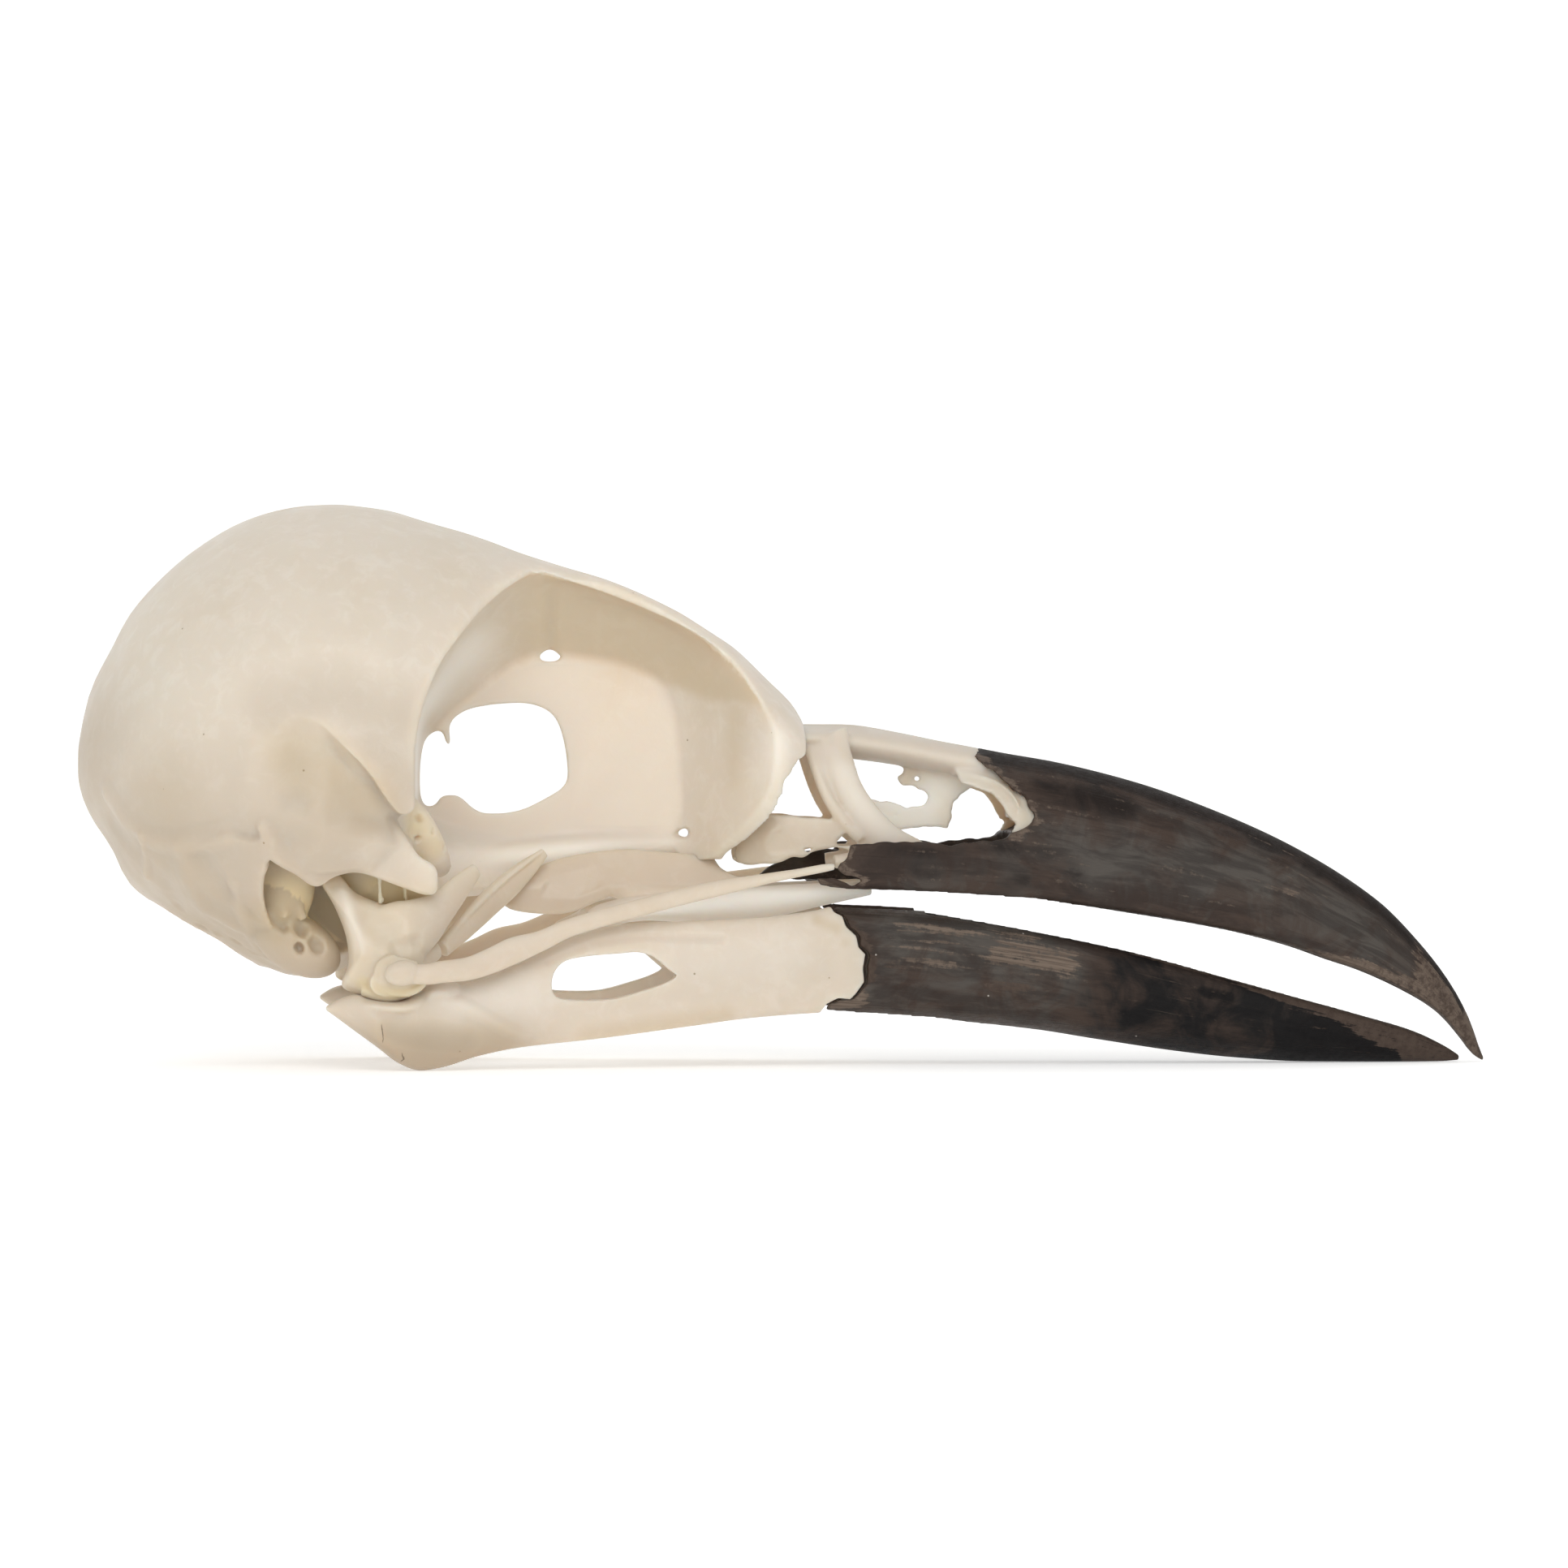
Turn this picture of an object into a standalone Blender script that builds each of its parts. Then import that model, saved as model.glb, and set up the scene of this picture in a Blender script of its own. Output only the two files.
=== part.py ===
"""Skull of a magpie with its horny bill, life size, lying on its lower jaw as a museum shows it.

The bird faces +X, its left side is +Y and the table is the plane z = 0. The origin is the middle of
the whole skull's outline on the table. Sizes and tables are in millimetres; mesh data are in metres.
Paired bones are modelled on the left side and mirrored to the right.
"""

import math

import bmesh
import bpy
from mathutils import Matrix, Vector

MM = 0.001

# Bare bone is cream and dull; the horn of the bill is brown-black with a soft shine.
BONE_LOOK = ("cleaned_bone", (0.78, 0.70, 0.56), 0.55)
HORN_LOOK = ("bill_horn", (0.030, 0.024, 0.021), 0.42)

# Gap left between two pieces that touch.
FACE_GAP = 0.3

# Cranium: height of the crown, depth of the base, half width and level of the widest line along X.
CROWN = [(-31.0, 13.5), (-30.8, 14.8), (-30.4, 16.4), (-29.5, 18.2), (-28.6, 19.8), (-27.3, 21.3),
         (-25.9, 22.5), (-23.8, 23.8), (-21.8, 24.4), (-19.7, 24.6), (-17.4, 24.3), (-14.5, 23.6),
         (-11.6, 22.5), (-8.8, 21.6), (-4.9, 20.0), (-2.4, 18.4), (-0.6, 16.7), (0.7, 15.1)]
BASE = [(-31.0, 12.8), (-30.8, 11.8), (-30.3, 10.7), (-29.5, 9.5), (-28.6, 7.7), (-27.0, 6.3),
        (-24.8, 5.0), (-22.7, 4.1), (-21.0, 3.8), (-19.4, 4.1), (-18.4, 5.0), (-17.2, 6.4),
        (-15.3, 7.4), (-13.0, 7.8), (-11.0, 8.3), (-6.0, 8.8), (-4.3, 7.6), (0.7, 7.6)]
HALF_WIDTH = [(-31.0, 1.2), (-30.6, 3.1), (-30.0, 4.7), (-29.0, 6.7), (-27.5, 8.9), (-25.5, 10.8),
              (-23.0, 12.1), (-20.5, 12.6), (-18.2, 12.4), (-16.5, 11.7), (-15.0, 10.0), (-13.0, 7.2),
              (-11.0, 5.2), (-8.8, 4.2), (-6.0, 3.8), (-4.0, 4.2), (-2.0, 5.4), (-0.6, 5.6),
              (0.7, 4.6)]
WIDEST_LEVEL = [(-31.0, 13.2), (-27.0, 12.8), (-22.0, 12.4), (-17.0, 13.2), (-14.0, 18.2),
                (-11.0, 21.0), (-8.8, 21.1), (-4.9, 19.4), (-2.4, 16.6), (-0.6, 14.4), (0.7, 14.0)]
FOREHEAD_FRONT = 0.7

# Hollow of the braincase, with the bone round it about 1.3 thick.
BRAIN_TOP = [(-29.7, 16.0), (-29.0, 17.9), (-27.5, 20.0), (-25.5, 21.7), (-23.5, 22.7), (-21.5, 23.1),
             (-19.5, 22.9), (-18.2, 22.0), (-17.6, 20.2)]
BRAIN_FLOOR = [(-29.7, 11.6), (-29.0, 10.1), (-27.5, 8.4), (-25.5, 7.4), (-23.5, 7.7), (-21.5, 9.3),
               (-19.5, 10.6), (-18.2, 11.6), (-17.6, 13.0)]
BRAIN_HALF = [(-29.7, 3.2), (-29.0, 5.4), (-27.5, 7.8), (-25.5, 9.6), (-23.5, 10.6), (-21.5, 10.6),
              (-19.5, 10.3), (-18.2, 9.2), (-17.6, 6.8)]
BRAIN_LEVEL = 13.8
FORAMEN_CENTRE = (-25.6, 0.0, 5.5)
FORAMEN_HALF = (2.4, 2.8)

# Eye socket, by distance out from the middle plane, and the thin wall left between the two.
SEPTUM_HALF = 0.3
SOCKET_BACK = [(0.3, -15.9), (3.0, -16.1), (8.0, -16.4), (14.0, -16.6)]
SOCKET_FRONT = [(0.3, -4.3), (2.0, -3.4), (4.0, -1.9), (5.5, -0.5), (7.5, 1.6), (14.0, 5.0)]
SOCKET_TOP = [(0.3, 18.0), (1.5, 19.4), (3.0, 20.8), (4.2, 21.8), (6.0, 22.9), (9.0, 24.0), (14.0, 25.5)]
SOCKET_BOTTOM = [(0.3, 10.3), (0.8, 9.6), (1.1, 6.5), (3.0, 4.0), (14.0, 2.0)]
SOCKET_MIDDLE = 13.2
ROOF_THICKNESS = 0.75

# Outlines of openings and edges seen from the side, as (x, z).
SEPTUM_WINDOW = [(-15.9, 12.3), (-15.7, 14.1), (-14.9, 14.9), (-13.8, 15.5), (-12.0, 15.8), (-10.3, 15.5),
                 (-9.7, 14.4), (-9.4, 13.2), (-9.7, 12.2), (-11.4, 11.1), (-13.2, 11.0), (-14.4, 11.6),
                 (-15.4, 11.5)]
NERVE_HOLE = [(-10.8, 17.7), (-10.3, 18.1), (-9.8, 17.7), (-10.3, 17.5)]
EAR_HOLLOW = [(-22.5, 9.6), (-21.2, 8.9), (-20.2, 8.8), (-18.8, 8.7), (-17.3, 8.5), (-15.4, 8.4),
              (-13.6, 7.5), (-14.6, 4.2), (-18.0, 2.6), (-19.8, 3.6), (-20.9, 4.5), (-22.2, 5.6),
              (-23.0, 7.4)]
TEMPLE_HOLLOW = [(-22.2, 10.9), (-22.4, 12.6), (-21.8, 13.9), (-20.8, 14.7), (-19.6, 14.3), (-18.9, 13.2),
                 (-18.2, 12.2), (-17.4, 11.35), (-14.6, 11.0), (-14.4, 9.0), (-17.0, 10.0), (-19.5, 10.5)]
CHEEK_BLADE = [(-22.5, 10.6), (-20.4, 10.9), (-18.6, 11.1), (-17.3, 11.0), (-16.7, 9.9), (-15.9, 8.9),
               (-15.9, 8.2), (-16.4, 7.9), (-18.0, 8.4), (-19.8, 8.7), (-21.4, 8.9), (-22.5, 9.4)]
LACRIMAL_EDGE = [(2.0, 13.5), (0.75, 13.5), (0.5, 12.8), (-0.3, 12.0), (-0.8, 11.1), (-1.3, 10.4), (-2.2, 9.6),
                 (-3.3, 8.9), (-4.2, 7.4), (2.0, 7.0)]

# Upper bill: culmen and cutting edge, half width along X, and the ragged rear edge of the horn.
CULMEN = [(0.5, 14.9), (3.0, 14.9), (6.6, 14.25), (9.6, 13.7), (11.9, 13.3), (15.5, 12.4), (19.0, 11.1),
          (22.6, 9.5), (26.2, 7.2), (28.0, 5.4), (29.4, 3.6), (30.3, 2.0), (30.8, 0.6), (31.0, 0.1)]
UPPER_EDGE = [(0.5, 7.9), (2.6, 7.5), (4.8, 7.5), (8.3, 7.3), (11.9, 7.0), (15.5, 6.5), (19.0, 5.9),
              (22.6, 5.0), (25.5, 4.0), (28.0, 2.8), (29.8, 1.2), (30.5, 0.3), (31.0, 0.0)]
UPPER_HALF = [(0.5, 5.4), (2.6, 5.3), (5.0, 4.9), (8.0, 4.3), (12.0, 3.75), (16.0, 3.3), (20.0, 2.75),
              (24.0, 2.05), (28.0, 1.15), (30.0, 0.6), (31.0, 0.12)]
UPPER_REAR = [(10.0, 15.5), (8.4, 13.9), (8.2, 13.4), (9.0, 12.8), (9.9, 12.0), (10.5, 11.5), (10.7, 10.9),
              (10.2, 10.2), (9.2, 9.9), (6.6, 9.75), (3.0, 9.75), (2.4, 9.5), (2.4, 8.9), (1.9, 8.4),
              (1.0, 7.9), (1.3, 7.0), (-1.0, 7.0), (-1.0, 15.5)]
LEFT_FLAP = [(-0.9, 8.2), (0.4, 8.8), (1.3, 9.2), (2.4, 9.3), (3.6, 9.2), (3.6, 8.0), (1.5, 7.9)]
UPPER_GROOVE = [(-1.0, 13.0), (8.8, 12.6), (10.2, 9.6), (12.0, 8.0), (15.0, 7.2), (19.0, 6.5), (23.0, 5.4),
                (26.0, 4.2), (28.0, 3.0)]
UPPER_WALL = [(-1.0, 1.0), (10.0, 1.0), (16.0, 0.9), (24.0, 0.8), (28.0, 0.6)]

# Lower bill: top and bottom, half width along X, and the ragged rear edge of the horn.
LOWER_EDGE = [(0.0, 7.2), (3.4, 7.1), (5.9, 6.9), (8.3, 6.5), (11.9, 5.8), (15.5, 5.0), (19.0, 4.0),
              (22.6, 2.95), (25.5, 2.1), (27.6, 1.45), (29.2, 0.7), (29.9, 0.25)]
GONYS = [(0.0, 2.3), (3.0, 2.1), (8.3, 1.75), (11.2, 1.45), (13.7, 1.0), (17.3, 0.45), (19.8, 0.15),
         (23.0, -0.1), (27.0, -0.12), (29.0, -0.05), (29.9, 0.05)]
LOWER_HALF = [(0.0, 5.4), (1.8, 5.1), (3.6, 4.8), (8.0, 4.05), (12.0, 3.45), (16.0, 2.9), (20.0, 2.35),
              (24.0, 1.7), (27.6, 0.95), (29.9, 0.15)]
LOWER_REAR = [(1.2, 8.0), (1.6, 7.1), (2.2, 6.7), (2.5, 6.1), (3.1, 5.2), (3.3, 4.5), (3.1, 3.6), (2.7, 3.0),
              (2.0, 2.8), (1.4, 2.5), (1.2, 1.5)]
SYMPHYSIS = 12.6
LOWER_WALL = 1.3

# Mandible branch: top, bottom, distance out and half thickness along X, and the opening in it.
RAMUS_TOP = [(-20.3, 2.75), (-19.6, 3.1), (-18.9, 3.15), (-17.8, 2.8), (-16.7, 2.8), (-15.9, 3.2),
             (-14.8, 3.6), (-13.4, 4.0), (-11.9, 4.7), (-9.9, 5.7), (-8.5, 6.2), (-7.0, 6.4), (-1.7, 6.55),
             (1.1, 6.95), (4.0, 7.05)]
RAMUS_BOTTOM = [(-20.3, 2.65), (-19.8, 2.3), (-19.2, 1.8), (-18.1, 0.95), (-17.0, 0.1), (-16.2, -0.12),
                (-15.3, 0.1), (-13.7, 0.65), (-11.9, 1.0), (-8.5, 1.35), (-4.5, 1.85), (-1.7, 2.2), (4.0, 2.4)]
RAMUS_OUT = [(-20.3, 8.3), (-17.7, 8.1), (-15.5, 8.0), (-12.0, 7.35), (-8.0, 6.6), (-4.0, 5.8),
             (0.0, 4.85), (4.0, 4.0)]
RAMUS_HALF = [(-20.3, 0.3), (-19.2, 0.9), (-17.9, 1.45), (-16.8, 1.2), (-15.4, 0.8), (-12.0, 0.6),
              (-6.0, 0.6), (0.0, 0.75), (4.0, 0.8)]
RAMUS_FRONT = [(0.9, 8.0), (1.3, 7.1), (1.85, 6.6), (2.2, 6.0), (2.75, 5.1), (2.95, 4.5), (2.75, 3.8),
               (2.4, 3.35), (1.9, 3.15), (1.1, 2.85), (0.9, 1.5), (7.0, 1.5), (7.0, 8.0)]
RAMUS_WINDOW = [(-10.6, 3.6), (-10.4, 4.4), (-9.7, 4.85), (-7.8, 5.05), (-6.6, 5.0), (-5.9, 4.7),
                (-5.2, 4.1), (-5.9, 3.65), (-7.8, 3.1), (-9.9, 3.1)]

# Quadrate, nasal bones and palate, as side outlines.
QUADRATE_BODY = [(-20.5, 8.2), (-19.7, 8.4), (-19.0, 7.6), (-17.8, 7.15), (-16.7, 7.0), (-16.1, 6.0),
                 (-16.0, 4.8), (-16.4, 3.9), (-17.0, 3.3), (-18.0, 3.15), (-19.1, 3.5), (-19.5, 3.8),
                 (-19.3, 4.6), (-19.4, 5.8), (-19.9, 7.1)]
NASAL_LACE = [(5.0, 13.5), (5.0, 12.4), (6.0, 12.0), (6.1, 11.3), (5.0, 11.2), (4.4, 11.0), (4.6, 10.4),
              (7.2, 10.35), (7.35, 11.2), (8.0, 12.1), (8.4, 13.0)]
MAXILLA_LEAF = [(-2.1, 8.9), (-1.5, 10.0), (-0.8, 10.9), (0.5, 10.8), (2.4, 10.7), (4.2, 9.8), (4.2, 8.8),
                (1.2, 9.1), (0.4, 9.0), (-1.4, 8.7)]
PALATE_LOBE = [(-11.9, 7.1), (-11.3, 7.9), (-10.4, 9.0), (-7.0, 9.2), (-5.6, 8.7), (-5.0, 7.6), (-7.3, 7.2),
               (-8.8, 6.8), (-10.2, 6.6), (-11.2, 6.7)]


def through(points):
    """A smooth curve through the points of a table, which doesn't overshoot between them."""
    xs = [p[0] for p in points]
    ys = [p[1] for p in points]
    slopes = [(ys[i + 1] - ys[i]) / (xs[i + 1] - xs[i]) for i in range(len(xs) - 1)]
    tangents = [slopes[0]]
    for before, after in zip(slopes, slopes[1:]):
        same_way = before * after > 0
        tangents.append(2 * before * after / (before + after) if same_way else 0.0)
    tangents.append(slopes[-1])

    def value(x):
        if x <= xs[0]:
            return ys[0]
        if x >= xs[-1]:
            return ys[-1]
        i = max(k for k in range(len(xs) - 1) if xs[k] <= x)
        step = xs[i + 1] - xs[i]
        t = (x - xs[i]) / step
        return (
            ys[i] * (2 * t**3 - 3 * t**2 + 1)
            + tangents[i] * step * (t**3 - 2 * t**2 + t)
            + ys[i + 1] * (3 * t**2 - 2 * t**3)
            + tangents[i + 1] * step * (t**3 - t**2)
        )

    return value


def rounded(points, per_span=3):
    """A smooth closed outline through a few corner points, as vectors of two."""
    count = len(points)
    made = []
    for i in range(count):
        p0, p1, p2, p3 = (Vector(points[(i + k) % count]) for k in (-1, 0, 1, 2))
        for k in range(per_span):
            t = k / per_span
            made.append(
                0.5 * (2 * p1 + (p2 - p0) * t + (2 * p0 - 5 * p1 + 4 * p2 - p3) * t**2
                       + (3 * p1 - p0 - 3 * p2 + p3) * t**3)
            )
    return made


def spread(low, high, count):
    """Evenly spaced values from low to high, both included."""
    return [low + (high - low) * i / (count - 1) for i in range(count)]


def add_object(name, bm):
    """Puts a closed mesh into the scene, with its faces turned out."""
    bmesh.ops.triangulate(bm, faces=bm.faces[:])
    bmesh.ops.recalc_face_normals(bm, faces=bm.faces[:])
    mesh = bpy.data.meshes.new(name)
    bm.to_mesh(mesh)
    bm.free()
    obj = bpy.data.objects.new(name, mesh)
    bpy.context.scene.collection.objects.link(obj)
    return obj


def loft(name, rings):
    """A closed solid skinned over rings of points, each ring with as many points as the next."""
    bm = bmesh.new()
    rows = [[bm.verts.new(Vector(p) * MM) for p in ring] for ring in rings]
    count = len(rows[0])
    for row, after in zip(rows, rows[1:]):
        for i in range(count):
            j = (i + 1) % count
            bm.faces.new((row[i], row[j], after[j], after[i]))
    for row in (rows[0], rows[-1]):
        rim = [bm.edges.get((row[i], row[(i + 1) % count])) for i in range(count)]
        bmesh.ops.triangle_fill(bm, edges=rim)
    return add_object(name, bm)


def bend(value, power):
    """The value with its size raised to a power, which squares or sharpens an oval's corners."""
    return math.copysign(abs(value) ** power, value)


def section(x, top, base, half, level, points=32, square=(1.0, 1.0), middle=0.0, floor=-99.0):
    """One upright ring across X: half ovals above and below the level where it is widest.

    The two powers of square make the upper and the lower half boxier the smaller they are.
    """
    ring = []
    for i in range(points):
        turn = 2 * math.pi * i / points
        above = math.sin(turn) > 0
        power = square[0] if above else square[1]
        reach = (top - level) if above else (level - base)
        z = level + reach * bend(math.sin(turn), power)
        ring.append((x, middle + half * bend(math.cos(turn), power), max(z, floor)))
    return ring


def bar(name, path, sizes, points=12, up=(0.0, 0.0, 1.0)):
    """A strap along a path, with an oval cross-section of half (width, height) at each point."""
    rings = []
    for i, here in enumerate(path):
        ahead = Vector(path[min(i + 1, len(path) - 1)]) - Vector(path[max(i - 1, 0)])
        along = ahead.normalized()
        side = along.cross(Vector(up)).normalized()
        rise = side.cross(along)
        width, height = sizes[i]
        ring = []
        for k in range(points):
            turn = 2 * math.pi * k / points
            ring.append(Vector(here) + side * width * math.cos(turn) + rise * height * math.sin(turn))
        rings.append(ring)
    return loft(name, rings)


def slab(name, edge, steps):
    """A solid with its outline seen from the side, at several distances out and shares of its size."""
    centre = sum(edge, Vector((0.0, 0.0))) / len(edge)
    rings = []
    for y, share in steps:
        rings.append([(centre.x + (p.x - centre.x) * share, y, centre.y + (p.y - centre.y) * share)
                      for p in edge])
    return loft(name, rings)


def prism(name, outline, inner, outer):
    """A straight slab with sharp corners, for cutting away what lies inside a side outline."""
    return slab(name, [Vector(p) for p in outline], [(inner, 1.0), (outer, 1.0)])


def ball(name, centre, radii, segments=16, rings=10):
    """An oval ball."""
    bm = bmesh.new()
    bmesh.ops.create_uvsphere(bm, u_segments=segments, v_segments=rings, radius=1.0)
    place = Matrix.Translation(Vector(centre) * MM) @ Matrix.Diagonal((*(r * MM for r in radii), 1.0))
    bmesh.ops.transform(bm, matrix=place, verts=bm.verts[:])
    return add_object(name, bm)


def column(name, centre, radii, height, segments=20):
    """A column along Z with a rounded square section."""
    rings = []
    for z in (centre[2] - height / 2, centre[2] + height / 2):
        turns = [2 * math.pi * i / segments for i in range(segments)]
        rings.append([(centre[0] + radii[0] * bend(math.cos(turn), 0.5),
                       centre[1] + radii[1] * bend(math.sin(turn), 0.5), z) for turn in turns])
    return loft(name, rings)


def mirrored(obj, name):
    """The same solid on the other side of the middle plane."""
    mesh = obj.data.copy()
    mesh.name = name
    mesh.transform(Matrix.Diagonal((1.0, -1.0, 1.0, 1.0)))
    mesh.flip_normals()
    twin = bpy.data.objects.new(name, mesh)
    bpy.context.scene.collection.objects.link(twin)
    return twin


def both_sides(obj):
    """The solid and its mirror image."""
    return [obj, mirrored(obj, obj.name + "_twin")]


def keep_largest(mesh):
    """Keeps only the closed surface with the most corners, and splits its faces into triangles."""
    bm = bmesh.new()
    bm.from_mesh(mesh)
    seen = set()
    shells = []
    for start in bm.verts:
        if start in seen:
            continue
        shell = {start}
        waiting = [start]
        while waiting:
            for edge in waiting.pop().link_edges:
                for vert in edge.verts:
                    if vert not in shell:
                        shell.add(vert)
                        waiting.append(vert)
        seen |= shell
        shells.append(shell)
    kept = max(shells, key=len)
    bmesh.ops.delete(bm, geom=[v for v in bm.verts if v not in kept], context="VERTS")
    bmesh.ops.triangulate(bm, faces=bm.faces[:])
    bm.to_mesh(mesh)
    bm.free()


def combine(target, operation, others):
    """Joins or cuts the target with other solids, which are used up."""
    group = bpy.data.collections.new("operands")
    bpy.context.scene.collection.children.link(group)
    for other in others:
        group.objects.link(other)
    modifier = target.modifiers.new(operation.lower(), "BOOLEAN")
    modifier.operation = operation
    modifier.operand_type = "COLLECTION"
    modifier.collection = group
    modifier.solver = "EXACT"
    bpy.context.view_layer.update()
    evaluated = target.evaluated_get(bpy.context.evaluated_depsgraph_get())
    mesh = bpy.data.meshes.new_from_object(evaluated)
    target.modifiers.clear()
    target.data = mesh
    mesh.name = target.name
    for other in others:
        bpy.data.objects.remove(other)
    bpy.data.collections.remove(group)
    keep_largest(mesh)
    return target


def join(target, *others):
    """Adds solids that overlap the target."""
    return combine(target, "UNION", others)


def cut(target, *others):
    """Takes solids out of the target."""
    return combine(target, "DIFFERENCE", others)


def head_form():
    """The whole braincase and forehead, before the sockets are hollowed out of it."""
    crown, base = through(CROWN), through(BASE)
    half, level = through(HALF_WIDTH), through(WIDEST_LEVEL)
    stations = [-30.96, -30.7, -30.2, -29.4, -28.3, -27.0] + spread(-25.4, 0.1, 18) + [FOREHEAD_FRONT]
    return loft("cranium", [section(x, crown(x), base(x), half(x), level(x), 30) for x in stations])


def brain_hollow():
    """The space for the brain."""
    top, floor, half = through(BRAIN_TOP), through(BRAIN_FLOOR), through(BRAIN_HALF)
    stations = [-29.7, -29.1, -28.2, -26.8, -25.0, -23.0, -21.0, -19.4, -18.2, -17.6]
    return loft("brain_hollow", [section(x, top(x), floor(x), half(x), BRAIN_LEVEL, 24) for x in stations])


def eye_socket():
    """The hollow for the eye on the left side, as one solid that reaches out past the skull."""
    back, front = through(SOCKET_BACK), through(SOCKET_FRONT)
    top, bottom, crown = through(SOCKET_TOP), through(SOCKET_BOTTOM), through(CROWN)
    rings = []
    for y in (SEPTUM_HALF, 0.7, 1.1, 2.0, 3.2, 4.4, 5.6, 7.2, 9.5, 14.0):
        middle = (back(y) + front(y)) / 2
        reach = (front(y) - back(y)) / 2
        ring = []
        for i in range(28):
            turn = 2 * math.pi * i / 28
            rise = math.sin(turn)
            height = (top(y) - SOCKET_MIDDLE) if rise > 0 else (SOCKET_MIDDLE - bottom(y))
            x = middle + reach * math.cos(turn)
            roof = crown(x) - ROOF_THICKNESS if y < 9.0 else 30.0
            ring.append((x, y, min(SOCKET_MIDDLE + height * rise, roof)))
        rings.append(ring)
    return loft("socket", rings)


def front_hollow():
    """The open space ahead of the sockets' front walls, under the hinge of the forehead."""
    rings = []
    for y in (-7.0, -5.5, -4.0, -2.0, 0.0, 2.0, 4.0, 5.5, 7.0):
        back = -2.7 + 0.095 * y * y
        top = 13.9 - 0.02 * y * y
        outline = [(back, 12.6), (back + 0.6, top - 0.4), (back + 1.4, top), (6.0, top), (6.0, 4.0),
                   (back - 0.9, 4.0), (back - 0.5, 9.0)]
        rings.append([(x, y, z) for x, z in outline])
    return loft("front_hollow", rings)


def temple_hollow():
    """The shallow hollow for the jaw muscle on the left side, open forward under the socket's rear rim."""
    half, level, base = through(HALF_WIDTH), through(WIDEST_LEVEL), through(BASE)
    edge = rounded(TEMPLE_HOLLOW, 2)
    centre = sum(edge, Vector((0.0, 0.0))) / len(edge)
    rings = []
    for rise, share in ((-1.0, 0.4), (-0.85, 0.72), (-0.4, 0.93), (0.1, 1.05), (2.5, 1.3)):
        ring = []
        for p in edge:
            q = centre + (p - centre) * share
            lean = min(0.8, max(0.0, (level(q.x) - q.y) / (level(q.x) - base(q.x))))
            skin = half(min(q.x, -16.0)) * math.sqrt(1.0 - lean * lean)
            deeper = 1.0 + 0.5 * max(0.0, q.x + 18.0)
            ring.append((q.x, skin + (rise * deeper if rise < 0.0 else rise), q.y))
        rings.append(ring)
    return loft("temple", rings)


def cheek_blade():
    """The flat pointed blade in front of the ear on the left side, lying close to the braincase."""
    rings = []
    for inset in (0.0, 0.85):
        ring = []
        for p in rounded(CHEEK_BLADE, 2):
            outside = 11.75 - 0.30 * (p.x + 22.0) - 0.28 * (11.0 - p.y)
            ring.append((p.x, outside - inset, p.y))
        rings.append(ring)
    return loft("cheek", rings)


def make_cranium():
    """Braincase, forehead, wall between the sockets and base, which are one bone."""
    cranium = head_form()
    ear = slab("ear", rounded(EAR_HOLLOW, 2), [(5.4, 0.5), (6.2, 0.85), (8.0, 1.0), (14.0, 1.0)])
    cut(cranium, *both_sides(eye_socket()), front_hollow(), prism("edge", LACRIMAL_EDGE, -8.0, 8.0))
    cut(cranium, *both_sides(ear), *both_sides(temple_hollow()))
    join(cranium, *both_sides(cheek_blade()), ball("condyle", (-22.7, 0.0, 4.9), (0.8, 1.0, 0.65), 12, 8))
    window = slab("window", rounded(SEPTUM_WINDOW, 2), [(-1.4, 1.0), (1.4, 1.0)])
    nerve = slab("nerve", rounded(NERVE_HOLE, 2), [(-2.4, 1.0), (2.4, 1.0)])
    cut(cranium, window, nerve, brain_hollow(), column("foramen", FORAMEN_CENTRE, FORAMEN_HALF, 7.0))
    return cranium


def make_upper_sheath():
    """Horn of the upper bill: a solid front and two hollow arms that run back beside the palate."""
    crown, edge, half = through(CULMEN), through(UPPER_EDGE), through(UPPER_HALF)
    stations = spread(0.5, 29.0, 24) + [29.7, 30.2, 30.6, 30.85, 31.0]
    rings = []
    for x in stations:
        tall = crown(x) - edge(x)
        rings.append(section(x, crown(x), edge(x), half(x), edge(x) + 0.14 * tall, 28, (1.0, 0.35)))
    sheath = loft("upper_bill_sheath", rings)
    roof, wall = through(UPPER_GROOVE), through(UPPER_WALL)
    groove = []
    for x in (-1.0, 2.0, 5.0, 8.6, 9.6, 10.4, 11.4, 13.0, 16.0, 20.0, 24.0, 28.0):
        inside = half(x) - wall(x)
        square = 0.45 if x < 9.0 else 0.8
        groove.append(section(x, roof(x), edge(x) - 3.0, inside, edge(x) + 0.2, 20, (square, square)))
    cut(sheath, prism("rear", UPPER_REAR, -8.0, 8.0), loft("groove", groove))
    flap = slab("flap", [Vector(p) for p in LEFT_FLAP], [(4.2, 1.0), (4.75, 1.0)])
    join(sheath, flap)
    return sheath


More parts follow.
